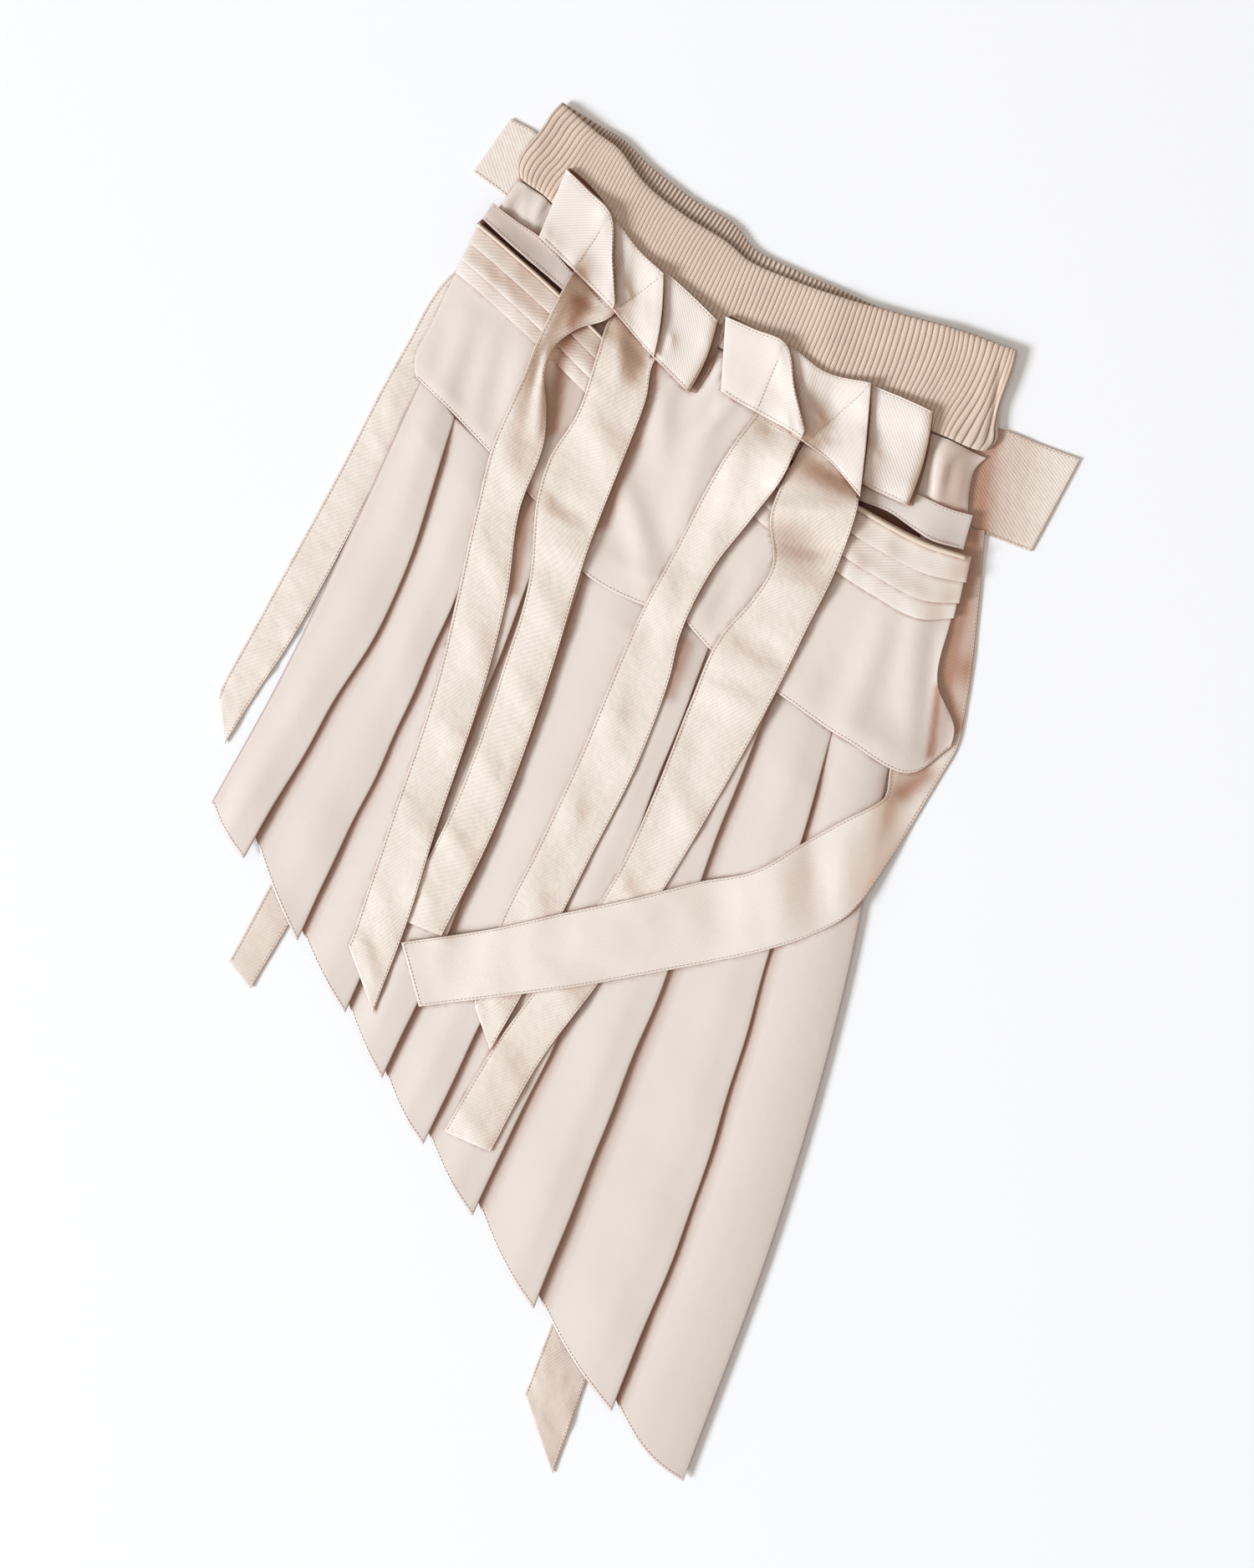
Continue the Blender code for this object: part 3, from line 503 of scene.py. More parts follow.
# Belts, from the knot outwards, left and right as seen with the free end at the bottom
STRIPS = tables(
    Station,
    bow_left_tail_outer=[
        (704, 306, 750, 358), (687, 327, 731, 382, 3, 1), (664, 369, 692, 396, 7, 2),
        (645, 408, 667, 414, 9, 2), (630, 446, 652, 446, 8, 2), (612, 485, 654, 488, 5, 2),
        (594, 524, 652, 526, 3, 1), (570, 612, 622, 612, 1, 1), (547, 715, 607, 715),
        (527, 800, 586, 800), (462, 1000, 520, 1000), (424, 1114, 481, 1122), (418, 1130, 447, 1210),
    ],
    bow_left_tail_inner=[
        (750, 358, 802, 410), (731, 380, 783, 433, 3, 2), (714, 428, 773, 478, 5, 3),
        (690, 497, 746, 550, 3, 3), (657, 550, 722, 610, 1, 3), (643, 596, 706, 652, 0, 2),
        (634, 690, 690, 702, 0, 1), (602, 800, 661, 800), (532, 988, 588, 1000), (472, 1096, 529, 1119),
    ],
    bow_right_tail_inner=[
        (922, 468, 976, 502), (904, 496, 955, 532, 3, 3), (880, 528, 936, 572, 5, 2),
        (852, 572, 900, 620, 3, 3), (806, 660, 852, 682, 1, 2), (760, 747, 812, 765, 0, 1),
        (738, 798, 802, 808), (700, 890, 766, 906), (640, 1020, 705, 1028), (600, 1100, 668, 1102),
        (570, 1190, 622, 1194), (568, 1202, 587, 1255),
    ],
    bow_right_tail_outer=[
        (978, 506, 1046, 546), (961, 532, 1030, 573, 3, 2), (936, 576, 1024, 610, 2, 3),
        (920, 622, 1010, 655, 4, 2), (924, 670, 996, 690, 6, 2), (900, 716, 966, 750, 3, 2),
        (862, 760, 940, 804, 1, 1), (824, 844, 896, 888), (787, 938, 852, 966), (735, 1050, 792, 1066),
        (662, 1154, 716, 1175), (587, 1257, 644, 1272), (531, 1352, 587, 1376),
    ],
    bow_left_wing_right=[
        (768, 416, 782, 316), (783, 431, 797, 328, 1, 1), (804, 452, 829, 357, 2, 2),
        (821, 469, 856, 384, 2, 2),
    ],
    bow_left_centre=[
        (722, 362, 719, 250), (735, 376, 731, 259, 0, 1), (758, 403, 765, 302, 1, 1.5),
        (782, 431, 794, 330, 1.5, 2),
    ],
    bow_left_wing_left=[
        (646, 287, 679, 206, 1.5, 1.5), (667, 307, 704, 231, 2, 2), (687, 327, 729, 257, 1.5, 1.5),
        (722, 362, 733, 318, 1, 2), (733, 374, 736, 366, 0.5, 1),
    ],
    bow_right_wing_right=[
        (1012, 570, 1026, 452), (1030, 580, 1041, 461, 1, 1), (1058, 594, 1078, 477, 2, 2),
        (1082, 605, 1112, 493, 2, 2),
    ],
    bow_right_centre=[
        (946, 522, 924, 408), (961, 532, 938, 412, 0, 1), (994, 556, 986, 446, 1, 1.5),
        (1027, 597, 1041, 460, 1.5, 2),
    ],
    bow_right_wing_left=[
        (863, 470, 869, 381, 1.5, 1.5), (883, 483, 902, 396, 2, 2), (904, 495, 937, 412, 1.5, 1.5),
        (940, 516, 950, 472, 1, 2), (957, 528, 961, 518, 0.5, 1),
    ],
    wrap_belt=[
        (1102, 628, 1178, 634, 1.5, 0), (1088, 750, 1168, 750, 1.5, 0), (1076, 842, 1156, 841, 1.5, 0),
        (1066, 895, 1143, 898, 1.5, 0), (1063, 925, 1124, 930, 1, 0), (1060, 948, 1098, 974, 1, 0),
        (1048, 961, 1060, 1034, 2, 0), (1010, 980, 1018, 1090, 1, 0), (960, 1008, 972, 1117),
        (905, 1040, 918, 1135), (836, 1054, 851, 1150), (760, 1073, 780, 1163), (670, 1092, 690, 1179),
        (589, 1110, 606, 1190), (481, 1126, 502, 1203),
    ],
    back_bow_right_wing=[
        (1090, 575, 1112, 520), (1164, 631, 1193, 512), (1200, 647, 1244, 531), (1233, 660, 1292, 549),
    ],
    back_bow_right_tail=[
        (990, 600, 1048, 620), (850, 1048, 910, 1070), (660, 1582, 718, 1602), (628, 1667, 661, 1762),
    ],
    back_bow_left_wing=[
        (566, 206, 611, 142), (601, 232, 643, 161), (640, 268, 668, 214), (676, 310, 692, 282),
    ],
    back_bow_left_tail_outer=[
        (604, 286, 634, 322), (543, 325, 580, 352), (480, 423, 518, 448), (400, 575, 440, 598),
        (300, 758, 340, 780), (265, 823, 298, 843), (262, 836, 269, 890),
    ],
    back_bow_left_tail_inner=[
        (656, 360, 694, 384), (490, 716, 528, 738), (326, 1053, 364, 1073), (274, 1150, 300, 1182),
    ],
)

# Soft ridges, and troughs where the height is negative
CREASES = tables(
    Crease,
    waistband=[
        (1196, 440, 1180, 540, 2, -1.6), (1186, 425, 1166, 530, 5, 1), (652, 150, 632, 205, 6, 1.2),
        (760, 215, 735, 290, 12, 1), (1010, 372, 985, 440, 14, 1),
    ],
    yoke_front=[
        (790, 452, 792, 545, 8, 1.8), (735, 560, 790, 690, 8, 2), (842, 520, 806, 670, 11, 1.6),
        (760, 640, 775, 712, 7, 1.4), (616, 222, 598, 262, 3.5, 2.4), (634, 232, 617, 276, 3, 2.6),
        (648, 246, 634, 290, 3, 2), (604, 246, 592, 262, 3, 1.6), (1152, 545, 1140, 612, 6, 3),
        (1128, 530, 1118, 600, 4, 2),
    ],
    hip_band_left=[(598, 262, 662, 318, 6, -1.2), (600, 280, 652, 318, 5, 0.8)],
    pocket_left=[
        (560, 385, 530, 472, 9, 2), (590, 400, 566, 505, 8, 1.3), (520, 405, 505, 448, 6, 1),
        (628, 420, 606, 545, 9, 2.1), (655, 470, 636, 590, 7, 1),
    ],
    pocket_right=[
        (1060, 735, 1010, 872, 10, 2), (1100, 745, 1086, 905, 9, 2.4), (1130, 760, 1120, 880, 5, 1.8),
        (985, 800, 950, 835, 8, 1), (905, 690, 860, 770, 8, 1.6), (860, 700, 832, 745, 6, 1),
    ],
    bow_left_tail_outer=[
        (716, 346, 704, 376, 7, -6.5), (682, 336, 656, 392, 5, 3.2), (656, 424, 647, 470, 3, 3),
        (647, 470, 642, 520, 3, 2.2), (620, 470, 606, 520, 7, 1.4), (604, 540, 622, 590, 7, 1.2),
        (574, 640, 600, 700, 7, 1.2), (560, 730, 575, 800, 8, 1.4), (520, 850, 560, 900, 7, 1),
        (480, 960, 520, 1010, 7, 1), (455, 1060, 470, 1130, 6, 1.4), (430, 1120, 452, 1180, 5, 1),
    ],
    bow_left_tail_inner=[
        (740, 392, 742, 452, 6, 3.6), (778, 418, 768, 446, 6, -3), (712, 440, 708, 470, 7, -1.6),
        (700, 500, 735, 545, 10, 1.8), (640, 586, 700, 622, 6, -2), (650, 655, 692, 660, 10, 1.6),
        (640, 700, 670, 760, 8, 1.4), (610, 800, 640, 850, 8, 1.2), (570, 890, 600, 950, 7, 1.2),
        (535, 990, 560, 1040, 7, 1.3), (500, 1050, 520, 1110, 6, 1),
    ],
    bow_right_tail_inner=[
        (915, 505, 930, 520, 6, -3), (948, 535, 918, 585, 6, 1.4), (884, 545, 868, 600, 7, 1.8),
        (870, 600, 842, 660, 8, 1.8), (800, 690, 790, 760, 8, 1.6), (790, 745, 770, 775, 6, -1.2),
        (740, 830, 730, 900, 8, 1.4), (690, 940, 680, 1000, 7, 1.2), (640, 1050, 645, 1110, 7, 1.2),
        (590, 1160, 600, 1220, 5, 1.2),
    ],
    bow_right_tail_outer=[
        (968, 545, 1020, 580, 7, -3), (926, 612, 1018, 616, 10, 4.2), (925, 650, 1000, 655, 8, -4),
        (916, 700, 985, 708, 10, 3.4), (885, 760, 930, 785, 8, -2.4), (840, 822, 905, 850, 9, 3),
        (815, 880, 870, 905, 9, -1.4), (800, 930, 830, 990, 8, 1.4), (740, 1050, 770, 1100, 7, 1.2),
        (660, 1165, 690, 1210, 8, 1.3), (600, 1260, 620, 1300, 7, 1.3), (552, 1330, 575, 1365, 6, 1.2),
    ],
    wrap_belt=[
        (1120, 700, 1100, 780, 7, 1), (1070, 1000, 1050, 1040, 6, 0.8), (1010, 990, 1000, 1080, 10, 0.9),
        (972, 1010, 985, 1095, 8, -0.8), (928, 1035, 934, 1125, 10, 1), (860, 1055, 872, 1135, 10, -0.5),
        (820, 1065, 835, 1140, 10, 0.5), (730, 1085, 745, 1160, 9, 0.5), (630, 1110, 640, 1180, 9, 0.6),
        (520, 1130, 535, 1190, 8, 0.6),
    ],
    bow_left_wing_left=[(712, 316, 700, 328, 5, -0.7)],
    bow_left_centre=[(752, 296, 745, 344, 5, 1.3), (772, 362, 776, 392, 8, 0.6)],
    bow_right_wing_left=[(928, 476, 912, 490, 6, -0.8)],
    bow_right_centre=[
        (966, 446, 960, 486, 5, 1.4), (996, 466, 988, 498, 7, -0.9), (1000, 522, 985, 530, 6, -0.7),
    ],
    bow_right_wing_right=[(1070, 490, 1068, 560, 9, -0.5)],
)

# Painted shade and painted shadow, where cloth turns from the light or lies in another piece's shadow: the depth is a
# share of the deepest tone
SHADES = tables(
    Shade,
    bow_left_wing_left=[(703, 310, 719, 330, 3.5, 0.12)],
    bow_left_centre=[(745, 308, 739, 330, 2.5, 0.12), (774, 366, 777, 392, 3, 0.12)],
    bow_right_wing_left=[(922, 470, 934, 488, 4, 0.13)],
    bow_right_centre=[
        (961, 446, 963, 476, 2.5, 0.12), (990, 462, 990, 484, 3, 0.1), (984, 528, 1002, 530, 3.5, 0.18),
    ],
    bow_left_tail_outer=[
        (689, 362, 684, 390, 4, 0.6), (699, 362, 712, 372, 4, 0.35), (697, 372, 684, 396, 4, 0.4),
        (712, 386, 684, 402, 2, 0.2),
    ],
    bow_left_tail_inner=[(750, 416, 772, 436, 4, 0.3), (655, 602, 690, 618, 7, 0.14)],
    bow_right_tail_inner=[(892, 522, 916, 530, 7, 0.18)],
    bow_right_tail_outer=[
        (612, 1262, 592, 1322, 15, 0.18), (954, 566, 1004, 582, 9, 0.6), (936, 640, 965, 664, 11, 0.5),
    ],
    wrap_belt=[
        (1172, 636, 1156, 800, 13, 0.55), (1160, 640, 1148, 720, 5, 0.8), (1146, 730, 1128, 810, 6, 0.9),
        (1130, 820, 1147, 868, 4, 0.8), (1154, 800, 1146, 870, 10, 0.4), (1106, 926, 1080, 948, 7, 0.9),
        (958, 1012, 966, 1102, 9, 0.24),
    ],
    back_bow_right_wing=[(1176, 512, 1166, 640, 12, 1), (1218, 530, 1204, 640, 17, 0.3)],
    hip_band_left=[(594, 258, 634, 298, 8, 0.2)],
    tuck_left_1=[(585, 285, 655, 350, 8, 0.2), (688, 396, 680, 420, 5, 0.6)],
    tuck_left_2=[(570, 310, 650, 375, 6, 0.2), (680, 404, 672, 430, 6, 0.8)],
    tuck_left_3=[(560, 340, 640, 405, 6, 0.15), (674, 410, 668, 440, 6, 0.9)],
    back_bow_left_tail_inner=[(330, 1070, 300, 1180, 22, 0.18)],
    back_bow_right_tail=[(690, 1600, 650, 1760, 22, 0.34)],
    yoke_front=[
        (622, 230, 611, 258, 2.5, 0.3), (1152, 538, 1138, 604, 12, 0.58), (784, 436, 757, 528, 5, 0.9),
        (756, 530, 722, 625, 4.5, 0.9), (824, 760, 800, 820, 4.5, 0.7),
    ],
    pocket_left=[(674, 430, 660, 512, 4, 1), (690, 436, 670, 520, 8, 0.35), (636, 590, 626, 640, 5, 0.8)],
    pocket_right=[(1122, 822, 1112, 904, 3, 1), (1132, 850, 1124, 900, 6, 0.3)],
    skirt_front=[
        (632, 598, 614, 706, 4, 1), (822, 770, 800, 830, 5, 0.8), (1064, 932, 1060, 972, 6, 0.6),
    ],
)

# Seams of the bows: a stitched line, and how far the cloth to its right drops beside it
SEAMS = tables(
    Seam,
    bow_left_wing_left=[(687, 326, 722, 273, 0.35, 0.5)],
    bow_left_centre=[(735, 374, 793, 332, 0.9, 0.3)],
    bow_right_wing_left=[(904, 494, 933, 424, 0.35, 0.5)],
    bow_right_centre=[(962, 532, 1040, 463, 0.9, 0.3)],
    bow_left_tail_inner=[(738, 382, 781, 426, 0.6, 0)],
    bow_left_tail_outer=[(690, 332, 730, 376, 0.6, 0)],
    bow_right_tail_inner=[(908, 500, 954, 530, 0.6, 0)],
    bow_right_tail_outer=[(966, 536, 1028, 572, 0.6, 0)],
)

# Dark strips of painted shade in the pocket mouths, each laid before the pieces on both sides of it
MOUTHS = tables(
    Station,
    left=[
        (584, 257, 571, 268), (600, 268, 588, 288), (643, 307, 616, 315), (673, 337, 664, 353),
        (716, 379, 708, 392),
    ],
    right=[
        (934, 533, 924, 556), (1030, 591, 1026, 605), (1068, 604, 1068, 640), (1100, 624, 1104, 656),
        (1123, 642, 1126, 662), (1152, 652, 1148, 668),
    ],
)

# Narrow strips of painted shade beside the bows' edges: painted shadow in gaps between layers, and painted shade on
# the inner side of a folded end
GAPS = tables(
    Station,
    bow_left_end=[
        (853, 388, 863, 389), (844, 420, 857.5, 420), (830, 448, 847, 447), (817, 466, 832, 471),
    ],
    bow_left_slot_right=[
        (789, 331, 793.3, 331), (789, 352, 793.8, 352), (788, 372, 792.8, 372), (785, 395, 790.3, 395),
        (780, 415, 784.8, 415), (777, 430, 781.3, 430),
    ],
    bow_left_slot_left=[
        (725, 260, 729.3, 259), (727, 290, 731.5, 289), (729, 320, 733.4, 320), (731, 345, 735.3, 346),
        (732, 366, 736.3, 367),
    ],
    bow_left_rim=[
        (681.4, 203, 677.7, 206.6), (696.3, 214.5, 692.6, 218.1), (714.5, 233.5, 710.9, 237.1),
        (731, 255.3, 727.4, 258.9),
    ],
    bow_right_end=[
        (1106, 497, 1115, 497), (1103, 525, 1112.5, 525), (1097, 553, 1107, 553), (1088, 582, 1099, 582),
        (1079, 603, 1090, 606),
    ],
    bow_right_slot_right=[
        (1037, 463, 1040.6, 463), (1035, 495, 1039.3, 495), (1031, 534, 1035.6, 534),
        (1028, 560, 1032.3, 560), (1023, 597, 1026.8, 597),
    ],
    bow_right_slot_left=[
        (933, 413, 937.3, 412), (938, 437, 942.3, 436), (944.5, 467, 948.8, 465), (951, 492, 955.3, 490),
        (957, 520, 961.3, 518),
    ],
    bow_right_rim=[
        (872, 379, 869.6, 383.6), (887, 386, 884.6, 390.6), (903, 394, 900.6, 398.6),
        (926, 404, 923.6, 408.6),
    ],
)

# Small puckers along a belt: where they start and end as shares of its length, how many, and how high
PUCKERS = tables(
    Pucker,
    bow_left_tail_outer=[(0.18, 0.6, 30, 0.22), (0.5, 1, 90, 0.36)],
    bow_left_tail_inner=[(0.15, 0.6, 30, 0.22), (0.5, 1, 80, 0.36)],
    bow_right_tail_inner=[(0.15, 0.6, 26, 0.2), (0.5, 1, 90, 0.36)],
    bow_right_tail_outer=[(0.15, 0.6, 26, 0.2), (0.5, 1, 90, 0.36)],
    wrap_belt=[(0.35, 1, 40, 0.14)],
    back_bow_left_tail_outer=[(0.2, 1, 110, 0.5)],
    back_bow_left_tail_inner=[(0.7, 1, 30, 0.5)],
    back_bow_right_tail=[(0.85, 1, 40, 0.5)],
    back_bow_left_wing=[(0, 1, 14, 0.3)],
    back_bow_right_wing=[(0, 1, 14, 0.3)],
)

# Sides, belts that lie under the skirt, and tails of the front bows, in the order in which they are laid
SIDES = ("left", "right")
BACK_BELTS = ("back_bow_left_wing", "back_bow_left_tail_outer", "back_bow_left_tail_inner",
              "back_bow_right_tail", "back_bow_right_wing")
FRONT_TAILS = ("bow_left_tail_inner", "bow_left_tail_outer", "bow_right_tail_outer", "bow_right_tail_inner")

# Lights: the side that they stand on in the picture, height and size in metres
LAMPS = named(Lamp, [
    ("key light", KEY_SIDE, 9.15, 4.8, 3780, (0.88, 0.94, 1.0)),
    ("overhead light", (-500, -200), 3.3, 2.2, 17, (1.0, 0.95, 0.88)),
])


# Outlines in plan
def plan(points):
    """Picture positions turned and scaled to garment metres."""
    points = np.asarray(points, float)
    right = (points[..., 0] - PICTURE_CENTRE_X) * SCALE
    up = (PICTURE_CENTRE_Y - points[..., 1]) * SCALE
    c, s = math.cos(PICTURE_TURN), math.sin(PICTURE_TURN)
    return np.stack([right * c - up * s, right * s + up * c], axis=-1)


def length_of(line):
    """Length of a line through its points."""
    return np.linalg.norm(np.diff(line, axis=0), axis=1).sum()


def unit(vectors):
    """Vectors brought to length 1."""
    return vectors / np.linalg.norm(vectors, axis=-1, keepdims=True)


def shares_along(points):
    """How far along its length each point of a line lies, from 0 to 1."""
    steps = np.linalg.norm(np.diff(points, axis=0), axis=1)
    return np.concatenate([[0], np.cumsum(steps)]) / steps.sum()


def smooth(values, at, guide=None):
    """Smooth curve through rows of values, read at shares 0 to 1 of the guide's length."""
    values = np.asarray(values, float)
    knots = shares_along(values if guide is None else guide)
    slopes = np.gradient(values, knots, axis=0)
    at = np.clip(np.asarray(at, float), 0, 1)
    k = np.clip(np.searchsorted(knots, at, side="right") - 1, 0, len(knots) - 2)
    span = (knots[k + 1] - knots[k])[:, None]
    t = ((at - knots[k]) / (knots[k + 1] - knots[k]))[:, None]
    start, end = values[k], values[k + 1]
    return (start * (2 * t**3 - 3 * t**2 + 1) + end * (3 * t**2 - 2 * t**3)
            + slopes[k] * span * (t**3 - 2 * t**2 + t) + slopes[k + 1] * span * (t**3 - t**2))


def patch_points(patch, across, down):
    """Points of a four-sided patch: shares across its top and down its sides."""
    top, bottom = smooth(plan(patch.top), across), smooth(plan(patch.bottom), across)
    left, right = smooth(plan(patch.left), down), smooth(plan(patch.right), down)
    u, v = np.asarray(across)[None, :, None], np.asarray(down)[:, None, None]
    between_ends = (1 - v) * top[None] + v * bottom[None]
    between_sides = (1 - u) * left[:, None] + u * right[:, None]
    corners = ((1 - u) * (1 - v) * top[0] + u * (1 - v) * top[-1]
               + (1 - u) * v * bottom[0] + u * v * bottom[-1])
    return between_ends + between_sides - corners


def sides_of(stations):
    """Left and right side of a belt at its stations."""
    return (plan([(station.left_x, station.left_y) for station in stations]),
            plan([(station.right_x, station.right_y) for station in stations]))


def strip_points(stations, across, along):
    """Plan points and lifts of a belt at shares across and along it."""
    left, right = sides_of(stations)
    lifts = np.array([(station.left_lift, station.right_lift) for station in stations]) * MM
    edges = smooth(np.concatenate([left, right, lifts], axis=1), along, guide=(left + right) / 2)
    share = np.asarray(across)[None, :, None]
    flat = edges[:, None, 0:2] * (1 - share) + edges[:, None, 2:4] * share
    rise = edges[:, None, 4] * (1 - share[..., 0]) + edges[:, None, 5] * share[..., 0]
    return flat, np.maximum(rise, 0)


def strip_size(stations):
    """Mean width and length of a belt."""
    left, right = sides_of(stations)
    return np.linalg.norm(right - left, axis=1).mean(), length_of((left + right) / 2)


def bowed(stations, end_bow):
    """A belt's plan points as a function of shares across and along, its end curved outwards by a length."""
    left, _ = sides_of(stations)
    run = unit(left[-1] - left[-2])

    def points_at(u, v):
        bow = end_bow * np.sin(math.pi * np.asarray(u))[None, :] * np.asarray(v)[:, None] ** 2
        return strip_points(stations, u, v)[0] + bow[..., None] * run

    return points_at


def fold_line(fold, down, shorten=0.0):
    """Plan points down a fold line, as far as its tip or, shortened, its notch."""
    points = plan([(fold.top_x, fold.top_y), (fold.upper_x, fold.upper_y),
                   (fold.lower_x, fold.lower_y), (fold.tip_x, fold.tip_y)])
    upward = unit(points[0] - points[1])
    beyond = np.maximum(-np.asarray(down), 0)[:, None] * length_of(points)
    return smooth(points, down * (1 - shorten)) + beyond * upward


def notch_share(fold):
    """How much shorter the line to the notch is than the line to the tip."""
    top, tip, notch = plan([(fold.top_x, fold.top_y), (fold.tip_x, fold.tip_y), (fold.notch_x, fold.notch_y)])
    return np.linalg.norm(tip - notch) / np.linalg.norm(tip - top)


def ends_of(line):
    """Both ends of a crease, shade or seam."""
    return plan([(line.from_x, line.from_y), (line.to_x, line.to_y)])


def off_line(crease, flat):
    """How far plan points lie off a crease's line, and their share of its length."""
    start, end = ends_of(crease)
    run = end - start
    share = np.clip(((flat - start) @ run) / (run @ run), 0, 1)
    return np.linalg.norm(flat - (start + share[..., None] * run), axis=-1), share


def even_shares(length, step, fewest=FEWEST_POINTS):
    """Shares 0 to 1 along a length, a step apart."""
    return np.linspace(0, 1, max(fewest, round(length / step) + 1))


def spread(length, step, thickness, marks=()):
    """Shares 0 to 1 along a length, with extra ones near both ends for a rounded border and at the marks."""
    near = np.concatenate([np.array(BORDER_STEPS) * thickness / 2, marks]) / length
    clear = [share for share in even_shares(length, step)[1:-1]
             if np.abs(min(share, 1 - share) - near).min() * length > CLEAR]
    return np.unique(np.concatenate([[0, 1], clear, near, 1 - near]))


def resample(grid, rows_at, columns_at):
    """Read a grid at shares along its rows and columns, in straight lines between its own."""
    def read(values, at):
        knots = np.linspace(0, 1, len(values))
        k = np.clip(np.searchsorted(knots, at, side="right") - 1, 0, len(knots) - 2)
        t = ((at - knots[k]) / (knots[k + 1] - knots[k])).reshape((-1,) + (1,) * (values.ndim - 1))
        return values[k] * (1 - t) + values[k + 1] * t

    by_rows = read(grid, np.asarray(rows_at))
    return np.swapaxes(read(np.swapaxes(by_rows, 0, 1), np.asarray(columns_at)), 0, 1)


# Resting and shaping
class Relief:
    """Highest cloth so far over a plan grid of small cells. New cloth comes to rest on it."""

    def __init__(self, tops=None):
        shape = (int(2 * RELIEF_HALF_LENGTH / CELL), int(2 * RELIEF_HALF_WIDTH / CELL))
        self.tops = np.zeros(shape) if tops is None else tops

    def copy(self):
        """Another relief with the same heights."""
        return Relief(self.tops.copy())

    def cells(self, x, y):
        """Rows and columns of the cells that plan points lie in."""
        column = np.clip(((x + RELIEF_HALF_WIDTH) / CELL).astype(int), 0, self.tops.shape[1] - 1)
        row = np.clip(((y + RELIEF_HALF_LENGTH) / CELL).astype(int), 0, self.tops.shape[0] - 1)
        return row, column

    def under(self, flat):
        """Height of the highest cloth near each plan point."""
        tops = self.tops
        shifts = range(-RELIEF_SPREAD, RELIEF_SPREAD + 1)
        for axis in (0, 1):
            tops = np.max([np.roll(tops, shift, axis) for shift in shifts], axis=0)
        x = np.clip((flat[..., 0] + RELIEF_HALF_WIDTH) / CELL - 0.5, 0, tops.shape[1] - LAST_CELL)
        y = np.clip((flat[..., 1] + RELIEF_HALF_LENGTH) / CELL - 0.5, 0, tops.shape[0] - LAST_CELL)
        column, row = x.astype(int), y.astype(int)
        u, v = x - column, y - row
        lower = tops[row, column] * (1 - u) + tops[row, column + 1] * u
        upper = tops[row + 1, column] * (1 - u) + tops[row + 1, column + 1] * u
        return lower * (1 - v) + upper * v

    def at(self, x, y):
        """Height of the highest cloth right at plan points."""
        return self.tops[self.cells(x, y)]

    def add(self, points):
        """Raise the relief to a grid of points."""
        fine = resample(points, *(np.linspace(0, 1, REFINE * n) for n in points.shape[:2]))
        np.maximum.at(self.tops, self.cells(fine[..., 0], fine[..., 1]), fine[..., 2])


def paint_shade(surface):
    """Paint shade where the sky, above all its lit side, is hidden, and where cloth turns away or is lit."""
    lit_x, lit_y = plan([KEY_SIDE])[0] - plan([(0, 0)])[0]
    lit_turn = math.atan2(lit_y, lit_x)
    for obj in bpy.data.objects:
        if not obj.name.endswith("_cloth") or obj.name.startswith("waistband"):
            continue
        mesh = obj.data
        points, tone = np.empty(3 * len(mesh.vertices)), np.empty(len(mesh.vertices))
        mesh.vertices.foreach_get("co", points)
        mesh.attributes["tone"].data.foreach_get("value", tone)
        x, y, z = points.reshape(-1, 3).T
        hidden = np.zeros(len(x))
        for turn in np.arange(FOLD_DIRECTIONS) * 2 * math.pi / FOLD_DIRECTIONS:
            slope = np.zeros(len(x))
            for reach in FOLD_REACH:
                above = surface.at(x + reach * math.cos(turn), y + reach * math.sin(turn)) - z
                slope = np.maximum(slope, above / reach)
            facing = max(math.cos(turn - lit_turn), 0)
            weight = LIT_SIDE_SHARE + (1 - LIT_SIDE_SHARE) * math.pi * facing
            hidden += weight * slope ** 2 / (1 + slope ** 2) / FOLD_DIRECTIONS
        # Painted shade where the sky is hidden, weighted towards the key light, and in the piece's listed shades
        tone += PAINTED_FOLD_SHADE * np.maximum(hidden - FOLD_SHADE_START, 0) + shades(obj.name.removesuffix("_cloth"), x, y)
        mesh.vertex_normals.foreach_get("vector", points)
        facing = points.reshape(-1, 3)[:, :2] @ [math.cos(lit_turn), math.sin(lit_turn)]
        # Painted shade, as its own tint, where the cloth turns away from the key light
        layer = mesh.attributes.new("turned", "FLOAT", "POINT")
        begin, growth = TURNED_SHADE_IN_TWILL if "twill" in mesh.materials[0].name else TURNED_SHADE_IN_SATIN
        layer.data.foreach_set("value", np.clip(growth * (-facing - begin), 0, 1))
        # Painted shade on edges that face the key light
        tone += LIT_EDGE_SHADE * np.maximum(facing - LIT_EDGE_START, 0)
        mesh.attributes["tone"].data.foreach_set("value", np.clip(tone, 0, 1))


def shades(name, x, y):
    """Depth of painted shade and painted shadow at a piece's listed places."""
    total = np.zeros(len(x))
    for shade in SHADES.get(name, []):
        away, _ = off_line(shade, np.stack([x, y], axis=-1))
        total += shade.depth * np.exp(-(away / (shade.width * MM)) ** 2)
    return total


def around(heights):
    """Mean of the four neighbours of each height."""
    ring = np.pad(heights, 1, mode="edge")
    return (ring[:-2, 1:-1] + ring[2:, 1:-1] + ring[1:-1, :-2] + ring[1:-1, 2:]) / 4


def bridged(heights, rounds):
    """Ease steps, only ever upwards, as cloth spans from one thing that it rests on to the next."""
    for _ in range(rounds):
        heights = np.maximum(heights, around(heights))
    return heights


def softened(heights):
    """Even out small steps, up and down."""
    for _ in range(SOFTEN_ROUNDS):
        heights = (heights + around(heights)) / 2
    return heights


